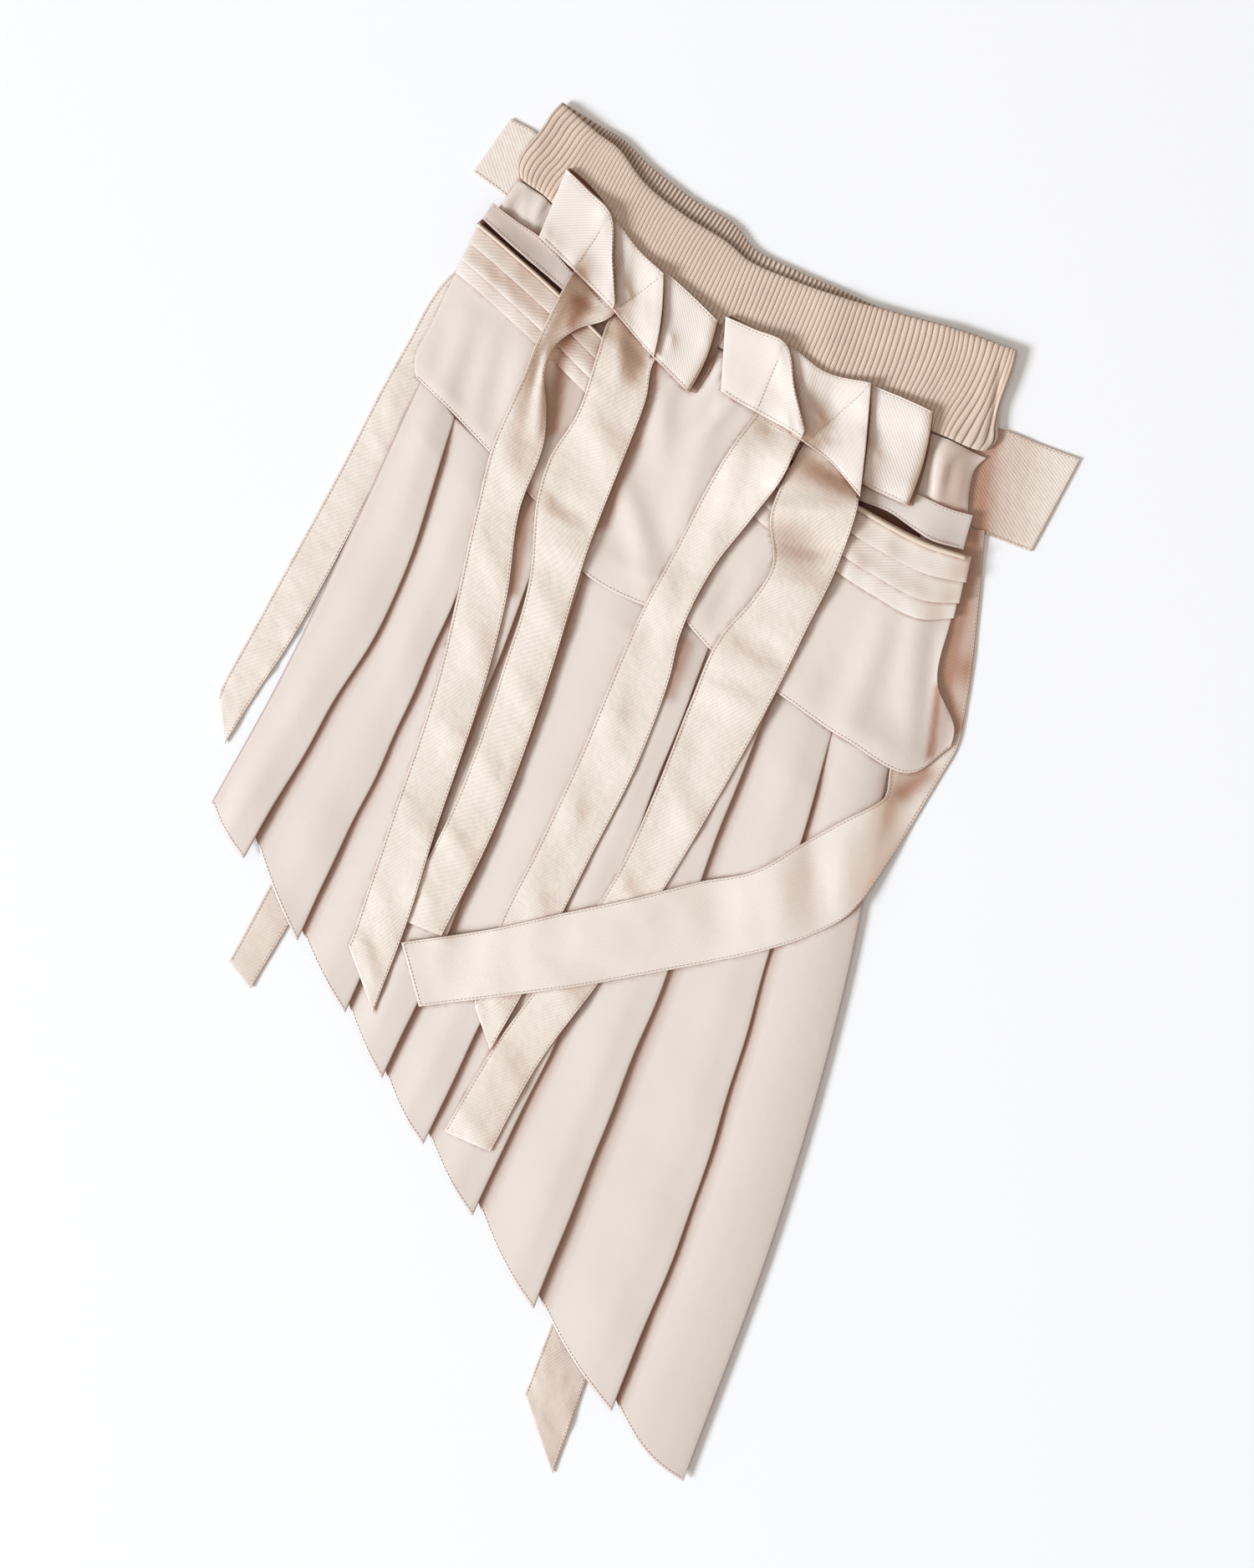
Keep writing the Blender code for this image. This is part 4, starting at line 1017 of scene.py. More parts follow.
def creases(name, flat):
    """Heights of a piece's own creases at its plan points."""
    heights = np.zeros(flat.shape[:2])
    for crease in CREASES.get(name, []):
        away, share = off_line(crease, flat)
        fade = CREASE_AT_ENDS + CREASE_GROWTH * np.sin(math.pi * share)
        heights += crease.height * MM * fade * np.exp(-(away / (crease.width * MM)) ** 2)
    for seam in SEAMS.get(name, []):
        start, end = ends_of(seam)
        run = unit(end - start)
        right = (flat - start) @ np.array([run[1], -run[0]])
        heights -= seam.groove * MM * np.exp(-(right / SEAM_WIDTH) ** 2)
        heights -= seam.drop * MM * np.clip(0.5 + right / SEAM_WIDTH, 0, 1)
    return heights


def seam_lines(name, grid, thickness):
    """Lines of stitches on top of the grid beside its seams."""
    lines = []
    for seam in SEAMS.get(name, []):
        start, end = ends_of(seam)
        share = SEAM_SHARES[:, None]
        line = start * (1 - share) + end * share
        away = np.linalg.norm(grid[None, :, :, :2] - line[:, None, None], axis=-1).reshape(len(line), -1)
        nearest = grid.reshape(-1, 3)[away.argmin(axis=1)]
        lines.append(np.column_stack([line, nearest[:, 2] + thickness / 2]))
    return lines


def puckers(name, across, along, width, length, rng):
    """Small slanting ridges, more of them near the stitched edges."""
    x, y = across[None, :] * width, along[:, None] * length
    heights = np.zeros((len(along), len(across)))
    for group in PUCKERS.get(name, []):
        for _ in range(group.count):
            edge = rng.beta(PUCKER_TO_EDGES, PUCKER_TO_EDGES) * width
            at = rng.uniform(group.start, group.end) * length
            turn = rng.uniform(*PUCKER_TURN) * rng.choice([-1, 1])
            long, wide = rng.uniform(*PUCKER_LENGTH), rng.uniform(*PUCKER_WIDTH)
            forward = (x - edge) * math.cos(turn) + (y - at) * math.sin(turn)
            side = (y - at) * math.cos(turn) - (x - edge) * math.sin(turn)
            height = group.height * MM * rng.uniform(*PUCKER_SHARE)
            heights += height * np.exp(-(forward / long) ** 2 - (side / wide) ** 2)
    return heights


def flutter(across, along, length, rng):
    """Slow, uneven rise and fall of both edges of a belt."""
    edges = []
    for _ in range(2):
        wave = np.zeros(len(along))
        for size in FLUTTER_SIZES:
            pitch = rng.uniform(*FLUTTER_PITCH) * MM
            wave += size * np.sin(2 * math.pi * along * length / pitch + rng.uniform(0, 2 * math.pi))
        edges.append(FLUTTER_MIDDLE + FLUTTER_SWING * wave)
    u = across[None, :]
    return FLUTTER_HEIGHT * np.maximum(edges[0][:, None] * (1 - u) + edges[1][:, None] * u, 0)


def wander(along, rng):
    """A slow random wave from 0 to 1."""
    turns = [rng.uniform(*reach) for _, reach in WANDER_WAVES]
    wave = sum(size * np.sin(2 * math.pi * (along * count + rng.uniform()))
               for (size, _), count in zip(WANDER_WAVES, turns))
    return 0.5 + wave


def ripples(down, rng):
    """Soft lengthwise waves of a panel that drift sideways and grow towards the hem."""
    ranges = (RIPPLE_SIZE, RIPPLE_TURNS, RIPPLE_DRIFT, (0, 1))
    waves = [[rng.uniform(*reach) for reach in ranges] for _ in range(RIPPLE_WAVES)]
    grow = RIPPLE_AT_TOP + RIPPLE_GROWTH * down

    def at(share):
        total = sum(size * (0.5 + 0.5 * np.cos(2 * math.pi * (turns * share + drift * down + phase)))
                    for size, turns, drift, phase in waves)
        return grow * total / sum(size for size, *_ in waves)

    return at


def groove(u, width):
    """Dent along the stitches near both sides."""
    inside = np.minimum(u, 1 - u) * width
    return STITCH_GROOVE * np.exp(-((inside - STITCH_INSET) / STITCH_GROOVE_WIDTH) ** 2)[None, :]


def laid(flat, heights):
    """Plan points and heights as one grid of points."""
    return np.concatenate([flat, heights[..., None]], axis=-1)


# Meshes
def placed(name, data):
    """A new object in the scene."""
    obj = bpy.data.objects.new(name, data)
    bpy.context.scene.collection.objects.link(obj)
    return obj


def normals_of(points, wrap, upward):
    """Unit normals of a grid, and whether they were flipped. upward is the part of the grid that faces up."""
    if wrap:
        across = np.roll(points, -1, axis=1) - np.roll(points, 1, axis=1)
    else:
        across = np.gradient(points, axis=1)
    normals = np.cross(across, np.gradient(points, axis=0))
    flip = normals[upward][..., 2].sum() < 0
    length = np.maximum(np.linalg.norm(normals, axis=-1, keepdims=True), TINY)
    return (-normals if flip else normals) / length, flip


def distances(points, axis):
    """How far each point of a grid is along the grid's lines of that axis."""
    steps = np.linalg.norm(np.diff(points, axis=axis), axis=-1)
    start = np.zeros_like(np.take(steps, [0], axis=axis))
    return np.concatenate([start, np.cumsum(steps, axis=axis)], axis=axis)


def shell(name, middle, thickness, material, wrap=False, upward=np.s_[:, :], tone=None):
    """A closed thin sheet around a grid of middle points, with rounded borders and lengths as its UV map."""
    rows, columns = middle.shape[:2]
    closed = np.concatenate([middle, middle[:, :1]], axis=1) if wrap else middle
    along, across = distances(closed, 0), distances(closed, 1)
    near = np.minimum(along, along[-1:] - along)
    if not wrap:
        near = np.minimum(near, np.minimum(across, across[:, -1:] - across))
    near = near[:, :columns]
    inward = 1 - np.clip(near / (thickness / 2), 0, 1)
    half = (thickness / 2 * np.sqrt(np.maximum(1 - inward ** 2, 0)))[..., None]
    normals, flip = normals_of(middle, wrap, upward)
    top, low = middle + normals * half, middle - normals * half
    inner = np.zeros((rows, columns), bool)
    inner[1:-1, slice(None) if wrap else slice(1, -1)] = True
    index_top = np.arange(rows * columns).reshape(rows, columns)
    index_low = index_top.copy()
    index_low[inner] = rows * columns + np.arange(inner.sum())
    uv = np.stack([across, along], axis=-1)

    def quads(grid):
        if wrap and grid.shape[1] == columns:
            grid = np.concatenate([grid, grid[:, :1]], axis=1)
        return np.stack([grid[:-1, :-1], grid[:-1, 1:], grid[1:, 1:], grid[1:, :-1]], axis=2)

    above, below = quads(index_top).reshape(-1, 4), quads(index_low).reshape(-1, 4)
    corners = quads(uv).reshape(-1, 4, 2)
    turned, faces = [corners, corners[:, ::-1]], [above, below[:, ::-1]]
    if flip:
        turned, faces = turned[::-1], [above[:, ::-1], below]
    mesh = bpy.data.meshes.new(name)
    vertices = np.concatenate([top.reshape(-1, 3), low[inner]])
    mesh.from_pydata(vertices.tolist(), [], np.concatenate(faces).tolist())
    mesh.uv_layers.new(name="lengths").data.foreach_set("uv", np.concatenate(turned).ravel())
    # Painted shade along the borders, kept with any painted shade passed in
    border = BORDER_SHADE * (1 - np.clip(near / BORDER_SHADE_WIDTH, 0, 1))
    tone = border if tone is None else np.maximum(tone, border)
    layer = mesh.attributes.new("tone", "FLOAT", "POINT")
    layer.data.foreach_set("value", np.concatenate([tone.ravel(), tone[inner]]))
    mesh.shade_smooth()
    mesh.materials.append(material)
    return placed(name, mesh), top


# Materials
def nodes_of(name, colour, finish):
    """A new material with its plain finish, its node tree and its shader."""
    material = bpy.data.materials.new(name)
    material.use_nodes = True
    tree = material.node_tree
    shader = tree.nodes["Principled BSDF"]
    shader.inputs["Base Color"].default_value = (*colour, 1)
    shader.inputs["Roughness"].default_value = finish.roughness
    shader.inputs["Specular IOR Level"].default_value = finish.gloss
    shader.inputs["IOR"].default_value = CLOTH_IOR
    shader.inputs["Sheen Weight"].default_value = finish.sheen
    shader.inputs["Sheen Roughness"].default_value = SHEEN_ROUGHNESS
    return material, tree, shader


def joined(tree, kind, settings=(), **links):
    """A node with its plain settings, and its inputs linked or set by name, or by number as at0 and at1."""
    node = tree.nodes.new(kind)
    for key, value in dict(settings).items():
        setattr(node, key, value)
    for key, value in links.items():
        place = node.inputs[key.replace("_", " ")] if not key.startswith("at") else node.inputs[int(key[2:])]
        if isinstance(value, bpy.types.NodeSocket):
            tree.links.new(value, place)
        else:
            place.default_value = value
    return node


def maths(tree, operation, *values):
    """Result of a sum on values or sockets."""
    links = {f"at{index}": value for index, value in enumerate(values)}
    return joined(tree, "ShaderNodeMath", {"operation": operation}, **links).outputs[0]


def noise(tree, vector, scale, detail=2.0):
    """Smooth noise from 0 to 1."""
    return joined(tree, "ShaderNodeTexNoise", Vector=vector, Scale=scale, Detail=detail).outputs[0]


def scaled(tree, vector, scale):
    """The vector with each part multiplied."""
    return joined(tree, "ShaderNodeMapping", Vector=vector, Scale=scale).outputs[0]


def painted(tree, attribute):
    """A tone painted on the points."""
    return joined(tree, "ShaderNodeAttribute", {"attribute_name": attribute}).outputs["Fac"]


def tinted(tree, shader, low, high, share):
    """Colour between two close tones, by a share from 0 to 1."""
    mix = joined(tree, "ShaderNodeMix", {"data_type": "RGBA"}, at0=share, at6=(*low, 1), at7=(*high, 1))
    tree.links.new(mix.outputs[2], shader.inputs["Base Color"])
    return mix.outputs[2]


def with_painted_shade(tree, shader, colour, turned_shade_tint):
    """Painted shade: a warmer, deeper colour along borders and in the folds, and another where the cloth turns away
    from the light.
    """
    for attribute, tint in (("tone", PAINTED_SHADE_TINT), ("turned", turned_shade_tint)):
        colour = joined(tree, "ShaderNodeMix", {"data_type": "RGBA", "blend_type": "MULTIPLY"},
                        at0=painted(tree, attribute), at6=colour, at7=(*tint, 1)).outputs[2]
    tree.links.new(colour, shader.inputs["Base Color"])


def bumped(tree, shader, *layers):
    """Relief of the cloth's own surface: pairs of height and depth in metres."""
    normal = None
    for height, depth in layers:
        node = joined(tree, "ShaderNodeBump", Height=height, Distance=depth)
        if normal is not None:
            tree.links.new(normal, node.inputs["Normal"])
        normal = node.outputs["Normal"]
    tree.links.new(normal, shader.inputs["Normal"])


def unevenly_glossy(tree, shader, share, finish, variation):
    """Roughness that goes up and down around the finish's own."""
    roughness = maths(tree, "MULTIPLY_ADD", share, variation, finish.roughness - variation / 2)
    tree.links.new(roughness, shader.inputs["Roughness"])


def satin(name, low, high, finish=SATIN):
    """Smooth satin: faint cloudy tone, tiny crosswise weave and a soft gloss."""
    material, tree, shader = nodes_of(name, high, finish)
    place = tree.nodes.new("ShaderNodeTexCoord")
    clouds = noise(tree, place.outputs["Object"], SATIN_CLOUDS)
    # Painted shade from the points, with a warmer tint where the satin turns away from the light
    with_painted_shade(tree, shader, tinted(tree, shader, low, high, clouds), SATIN_TURNED_SHADE_TINT)
    weave = noise(tree, scaled(tree, place.outputs["UV"], SATIN_WEAVE), 1.0)
    ripple = noise(tree, place.outputs["Object"], SATIN_RIPPLES)
    bumped(tree, shader, (ripple, SATIN_RIPPLE_DEPTH), (weave, SATIN_WEAVE_DEPTH))
    unevenly_glossy(tree, shader, clouds, finish, SATIN_VARIATION)
    return material


def twill(name, low, high, angle, crinkled):
    """Satin-faced twill: fine slanting lines, crinkles of that depth and a stronger gloss."""
    material, tree, shader = nodes_of(name, high, TWILL)
    place = tree.nodes.new("ShaderNodeTexCoord")
    turned = joined(tree, "ShaderNodeMapping", Vector=place.outputs["UV"], Rotation=(0, 0, angle)).outputs[0]
    lines = joined(tree, "ShaderNodeTexWave", Vector=turned, Scale=WAVE_UNIT / TWILL_PITCH,
                   Distortion=TWILL_BEND, Detail=1.0, Detail_Scale=TWILL_BEND_SCALE).outputs["Fac"]
    clouds = noise(tree, place.outputs["Object"], TWILL_CLOUDS)
    slubs = noise(tree, scaled(tree, turned, TWILL_SLUBS), 1.0)
    share = maths(tree, "MULTIPLY_ADD", lines, TWILL_LINE_SHARE, maths(tree, "ADD", clouds, TWILL_START))
    # Painted shade from the points, with its own tint where the twill turns away from the light
    with_painted_shade(tree, shader, tinted(tree, shader, low, high, share), TURNED_AWAY_SHADE_TINT)
    crinkle = noise(tree, place.outputs["Object"], TWILL_CRINKLES, TWILL_CRINKLE_DETAIL)
    bumped(tree, shader, (crinkle, crinkled), (lines, TWILL_LINE_DEPTH), (slubs, TWILL_SLUB_DEPTH))
    unevenly_glossy(tree, shader, slubs, TWILL, TWILL_VARIATION)
    return material


def rib_knit(name, low, high):
    """Matt rib knit: columns of small slanting stitches, with a little fuzz."""
    material, tree, shader = nodes_of(name, high, KNIT)
    place = tree.nodes.new("ShaderNodeTexCoord")
    uv = joined(tree, "ShaderNodeSeparateXYZ", Vector=place.outputs["UV"])
    across = maths(tree, "MULTIPLY", uv.outputs[0], 1 / KNIT_COLUMN)
    slant = maths(tree, "ABSOLUTE", maths(tree, "SUBTRACT", maths(tree, "FRACT", across), 0.5))
    along = maths(tree, "MULTIPLY_ADD", uv.outputs[1], 1 / KNIT_ROW, slant)
    loops = maths(tree, "SINE", maths(tree, "MULTIPLY", along, 2 * math.pi))
    clouds = noise(tree, place.outputs["Object"], KNIT_CLOUDS)
    fuzz = noise(tree, place.outputs["Object"], KNIT_FUZZ, KNIT_FUZZ_DETAIL)
    cloudy = maths(tree, "MULTIPLY_ADD", clouds, KNIT_CLOUD_SHARE, -KNIT_CLOUD_SHARE / 2)
    share = maths(tree, "MULTIPLY_ADD", loops, KNIT_LOOP_SHARE, cloudy)
    # The low colour is painted shade in the grooves; the high colour is the knit's own
    tinted(tree, shader, low, high, maths(tree, "ADD", share, painted(tree, "tone")))
    bumped(tree, shader, (loops, KNIT_LOOP_DEPTH), (fuzz, KNIT_FUZZ_DEPTH))
    return material


def thread(name, low, high):
    """Twisted thread: slanting plies."""
    material, tree, shader = nodes_of(name, high, TWISTED)
    place = tree.nodes.new("ShaderNodeTexCoord")
    ply = joined(tree, "ShaderNodeTexWave", {"bands_direction": "DIAGONAL"}, Vector=place.outputs["Object"],
                 Scale=WAVE_UNIT / THREAD_PLY).outputs["Fac"]
    tinted(tree, shader, low, high, ply)
    bumped(tree, shader, (ply, THREAD_DEPTH))
    return material


# A lighter copy of the body satin: painted light on the pocket panels and the yoke front
PAINTED_LIGHTER_PANEL = satin("panel satin", (0.728, 0.652, 0.602), (0.765, 0.688, 0.638))
BODY = satin("body satin", (0.68, 0.607, 0.562), (0.712, 0.638, 0.592))
# Dark copies of the satin: painted shade inside folded ends of wings, and painted shadow in gaps beside folds
FOLD_INSIDE_SHADE = satin("inside of a fold", (0.34, 0.205, 0.155), (0.42, 0.27, 0.205))
SHADE = satin("gap beside a fold", (0.20, 0.10, 0.075), (0.24, 0.125, 0.095), DULL_SATIN)
# Painted shade in the pocket mouths, as a very dark satin
MOUTH_SHADE = satin("pocket inside", (0.12, 0.05, 0.034), (0.15, 0.066, 0.046), DULL_SATIN)
BELT = twill("belt twill", (0.715, 0.638, 0.577), (0.835, 0.757, 0.692), BELT_ANGLE, BELT_CRINKLE)
PRESSED = twill("belt twill, pressed", *PRESSED_TONES, PRESSED_ANGLE, PRESSED_CRINKLE)
PRESSED_MIRRORED = twill("belt twill, pressed, other slant", *PRESSED_TONES, OTHER_ANGLE, PRESSED_CRINKLE)
# Its low colour is painted shade in the grooves between ribs
BAND = rib_knit("waist rib", (0.12, 0.067, 0.047), (0.72, 0.57, 0.47))
THREAD = thread("sewing thread", (0.44, 0.30, 0.22), (0.58, 0.43, 0.34))
CORD = thread("piping cord", (0.62, 0.50, 0.41), (0.78, 0.67, 0.57))
SLOTS = {BODY: "body_satin", PAINTED_LIGHTER_PANEL: "body_satin", MOUTH_SHADE: "body_satin", BAND: "waist_rib"}
OTHER_SLOT = "belt_twill"

# Cloth pieces so far, the trims that belong to each, and the highest cloth of the whole skirt
CUTS = {}
TRIMS = {}
SURFACE = Relief()


# Pieces
def finish_piece(obj, material):
    """Let a piece ride on the body, with its material's slot."""
    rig.ride(obj, "root")
    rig.slot(obj, SLOTS.get(material, OTHER_SLOT))


def line_inside(top, inset, axis):
    """A line along a grid, a distance in from one side, or from the other where it is negative."""
    grid = top if axis == 0 else np.swapaxes(top, 0, 1)
    reach = distances(grid, 1)
    line = []
    for points, far in zip(grid, reach):
        want = inset if inset > 0 else far[-1] + inset
        line.append([np.interp(want, far, points[:, k]) for k in range(3)])
    return np.array(line)


def laid_line(middle, thickness, inset):
    """A line of stitches on top of a grid of middle points."""
    line = line_inside(middle, inset, 0)
    line[:, 2] += thickness / 2
    return line


def stitch_shape():
    """One stitch: a small rounded rod along x, of length 1 and radius 1."""
    turns = np.arange(STITCH_SIDES) * 2 * math.pi / STITCH_SIDES
    points = [(x, r * math.cos(a), r * math.sin(a)) for x, r in STITCH_RINGS for a in turns]
    faces = []
    for ring in range(len(STITCH_RINGS) - 1):
        for side in range(STITCH_SIDES):
            after = (side + 1) % STITCH_SIDES
            low, high = ring * STITCH_SIDES, (ring + 1) * STITCH_SIDES
            faces.append((low + side, low + after, high + after, high + side))
    return np.array(points), np.array(faces)


def stitches(name, lines):
    """Rows of stitches along lines on the cloth."""
    shape, faces = stitch_shape()
    vertices = []
    for line in lines:
        far = distances(line[None], 1)[0]
        at = np.arange(STITCH_PITCH, far[-1] - STITCH_PITCH, STITCH_PITCH)
        if not len(at):
            continue
        here, ahead = (np.stack([np.interp(at + step, far, line[:, k]) for k in range(3)], axis=-1)
                       for step in (-STITCH_LENGTH / 2, STITCH_LENGTH / 2))
        middle, run = (here + ahead) / 2, ahead - here
        forward = unit(run)
        sideways = np.cross([0, 0, 1], forward)
        upward = np.cross(forward, sideways)
        middle = middle + upward * (STITCH_RADIUS - STITCH_SINK)
        vertices.append(middle[:, None] + shape[None, :, :1] * run[:, None]
                        + shape[None, :, 1:2] * sideways[:, None] * STITCH_RADIUS
                        + shape[None, :, 2:] * upward[:, None] * STITCH_RADIUS)
    vertices = np.concatenate(vertices)
    all_faces = faces[None] + (np.arange(len(vertices)) * len(shape))[:, None, None]
    mesh = bpy.data.meshes.new(name)
    mesh.from_pydata(vertices.reshape(-1, 3).tolist(), [], all_faces.reshape(-1, 4).tolist())
    mesh.shade_smooth()
    mesh.materials.append(THREAD)
    obj = placed(name, mesh)
    finish_piece(obj, THREAD)
    return obj


def piece(name, middle, thickness, material, held, rests_on, seams=(), extra=(), trim_of=None, **shape):
    """A finished piece of cloth that stands for its CAD node, with rows of stitches inside its borders."""
    obj, top = shell(f"{name}_cloth", middle, thickness, material, **shape)
    finish_piece(obj, material)
    if name in frame["nodes"]:
        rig.replaces(obj, name)
    SURFACE.add(top)
    lines = [line_inside(top, inset, axis) for inset, axis in seams] + list(extra)
    sewn = [stitches(f"{name}_stitches", lines)] if lines else []
    closed = np.concatenate([middle, middle[:, :1]], axis=1) if shape.get("wrap") else middle
    width, length = distances(closed, 1)[:, -1].mean(), distances(closed, 0)[-1].mean()
    if trim_of:
        TRIMS.setdefault(trim_of, []).append(obj)
    else:
        CUTS[name] = {"obj": obj, "flat": (round(width, 4), round(length, 4)), "held": held,
                      "rests_on": list(rests_on), "with_pieces": sewn}
    return top


def drape(points_at, width, length, relief, thickness, rounds, step=CLOTH_STEP, marks=()):
    """Shares, plan points, resting and lowest heights of a sheet laid over the relief."""
    evenly = points_at(*(even_shares(size, DRAPE_STEP, FEWEST_RESTS) for size in (width, length)))
    above = GAP + thickness / 2
    rest = bridged(relief.under(evenly), rounds) + above
    u, v = spread(width, step, thickness, marks), spread(length, step, thickness)
    flat = points_at(u, v)
    return u, v, flat, resample(rest, v, u), relief.under(flat) + above


def belt(name, relief, thickness, rests_on, material=BELT, stations=None, ends=False, rounds=DRAPE_ROUNDS,
         crinkled=True, step=CLOTH_STEP, seams_at_sides=True, end_bow=0.0, trim_of=None):
    """A length of belt laid over what is below it, with its own creases, puckers and stitched sides."""
    stations = stations or STRIPS[name]
    width, length = strip_size(stations)
    rng = np.random.default_rng(sum(map(ord, name)))
    points_at = bowed(stations, end_bow)
    u, v, flat, rest, lowest = drape(points_at, width, length, relief, thickness, rounds, step, STITCH_MARKS)
    heights = rest + strip_points(stations, u, v)[1] + creases(name, flat) - groove(u, width)
    if crinkled:
        heights += puckers(name, u, v, width, length, rng) + flutter(u, v, length, rng)
    grid = laid(flat, softened(np.maximum(heights, lowest)))
    seams = [(STITCH_INSET, 0), (-STITCH_INSET, 0)] if seams_at_sides else []
    seams += [(-STITCH_INSET, 1)] if ends else []
    sewn = seam_lines(name, grid, thickness)
    top = piece(name, grid, thickness, material, "laid", rests_on, seams, sewn, trim_of)
    relief.add(top)
    return top


def painted_shade_strip(name, relief, thickness, material, stations, trim_of):
    """A narrow strip of painted shade that shows beside the edge of the piece laid after it."""
    belt(name, relief, thickness, [], material, stations, crinkled=False, rounds=TRIM_ROUNDS,
         seams_at_sides=False, trim_of=trim_of)


def loop(name, relief, stations, rests_on, opening, peek, end_bow, end_drop):
    """A bow's wing: a belt folded back on itself at its outer end, its lower layer peeking out beside it."""
    width, length = strip_size(stations)
    step = BOW_LAYER + LOOP_GAP
    u, v, flat, rest, lowest = drape(bowed(stations, end_bow), width, length, relief, BOW_LAYER, WING_ROUNDS,
                                     BOW_STEP, STITCH_MARKS)
    count, across, along = len(v), u[None, :], v[:, None]
    under = np.maximum(rest + strip_points(stations, u, v)[1], lowest)
    bulge = np.sin(math.pi * along) * np.sin(math.pi * across)
    raised = opening * along ** 2 + peek * PEEK_RISE * across ** PEEK_RISE_POWER
    raised = raised - end_drop * np.clip(1 - (1 - along) * length / END_ROLL, 0, 1) ** 2
    over = under + step + WING_PUFF * bulge + raised + creases(name, flat) - groove(u, width)
    over = softened(np.maximum(over, under + step))
    out, sideways = unit(flat[-1] - flat[-2]), unit(flat[:, -1:] - flat[:, :1])
    shown = peek * across ** PEEK_POWER * np.clip((1 - along) * PEEK_TAPER, 0, 1)
    half, middle = (over[-1] - under[-1]) / 2, (over[-1] + under[-1]) / 2
    rows = [laid(flat, over)]
    for turn in HALF_TURN:
        points = flat[-1] + out * (half * math.cos(turn))[:, None]
        rows.append(laid(points, middle + half * math.sin(turn))[None])
    rows.append(laid(flat + sideways * shown[..., None], under)[::-1])
    grid = np.concatenate(rows)
    seams = [laid_line(grid[:count], BOW_LAYER, inset) for inset in (STITCH_INSET, -STITCH_INSET)]
    seams += seam_lines(name, grid[:count], BOW_LAYER)
    top = piece(name, grid, BOW_LAYER, PRESSED, "folded", rests_on, extra=seams, upward=np.s_[:count, :])
    relief.add(top[:count])


def band_columns():
    """Once round the band: shares across it, side, ribs and painted shade, and how many columns are in front."""
    inset = BAND_HALF_GAP / WAIST_WIDTH
    points = [((rib + share) / RIB_COUNT, height)
              for rib in range(RIB_COUNT) for share, height in RIB_PROFILE]
    fronts, crest = np.array(points + [(1.0, 0.0)]).T
    across = inset + fronts * (1 - 2 * inset)
    right_end, left_end = 1 - inset + inset * np.cos(HALF_TURN), inset - inset * np.cos(HALF_TURN)
    shares = np.concatenate([across, right_end, across[::-1], left_end])
    full, still = np.ones(len(across)), np.zeros(len(HALF_TURN))
    side = np.concatenate([full, np.sin(HALF_TURN), -full, -np.sin(HALF_TURN)])
    # Painted shade: dark in the grooves, lighter on the crests and on the rounded ends
    rounded = still + ROUNDED_END_SHADE
    ribs = np.concatenate([crest, still, crest[::-1], still])
    tone = np.minimum(np.concatenate([crest, rounded, crest[::-1], rounded]) * CREST_SHADE_SCALE, 1)
    return shares, side, ribs, tone, len(across)


def band_edges(shares, side):
    """Top and bottom edge of the band, its lower corners rounded, and the direction up along the ribs."""
    numbers = [[rib.number] for rib in RIBS]
    top = smooth(plan([(rib.top_x, rib.top_y) for rib in RIBS]), shares, guide=numbers)
    bottom = smooth(plan([(rib.bottom_x, rib.bottom_y) for rib in RIBS]), shares, guide=numbers)
    rise = unit(top - bottom)
    for off_end, corner in ((1 - shares, BAND_CORNER_RIGHT), (shares, BAND_CORNER_LEFT)):
        into_corner = np.clip(1 - off_end / BAND_CORNER_SHARE, 0, 1)
        bottom = bottom + rise * (corner * (1 - np.sqrt(1 - into_corner ** 2)))[:, None]
    above = smooth([[rib.back_above * MM] for rib in RIBS], shares, guide=numbers)
    return top + rise * above * (side < 0)[:, None], bottom, rise


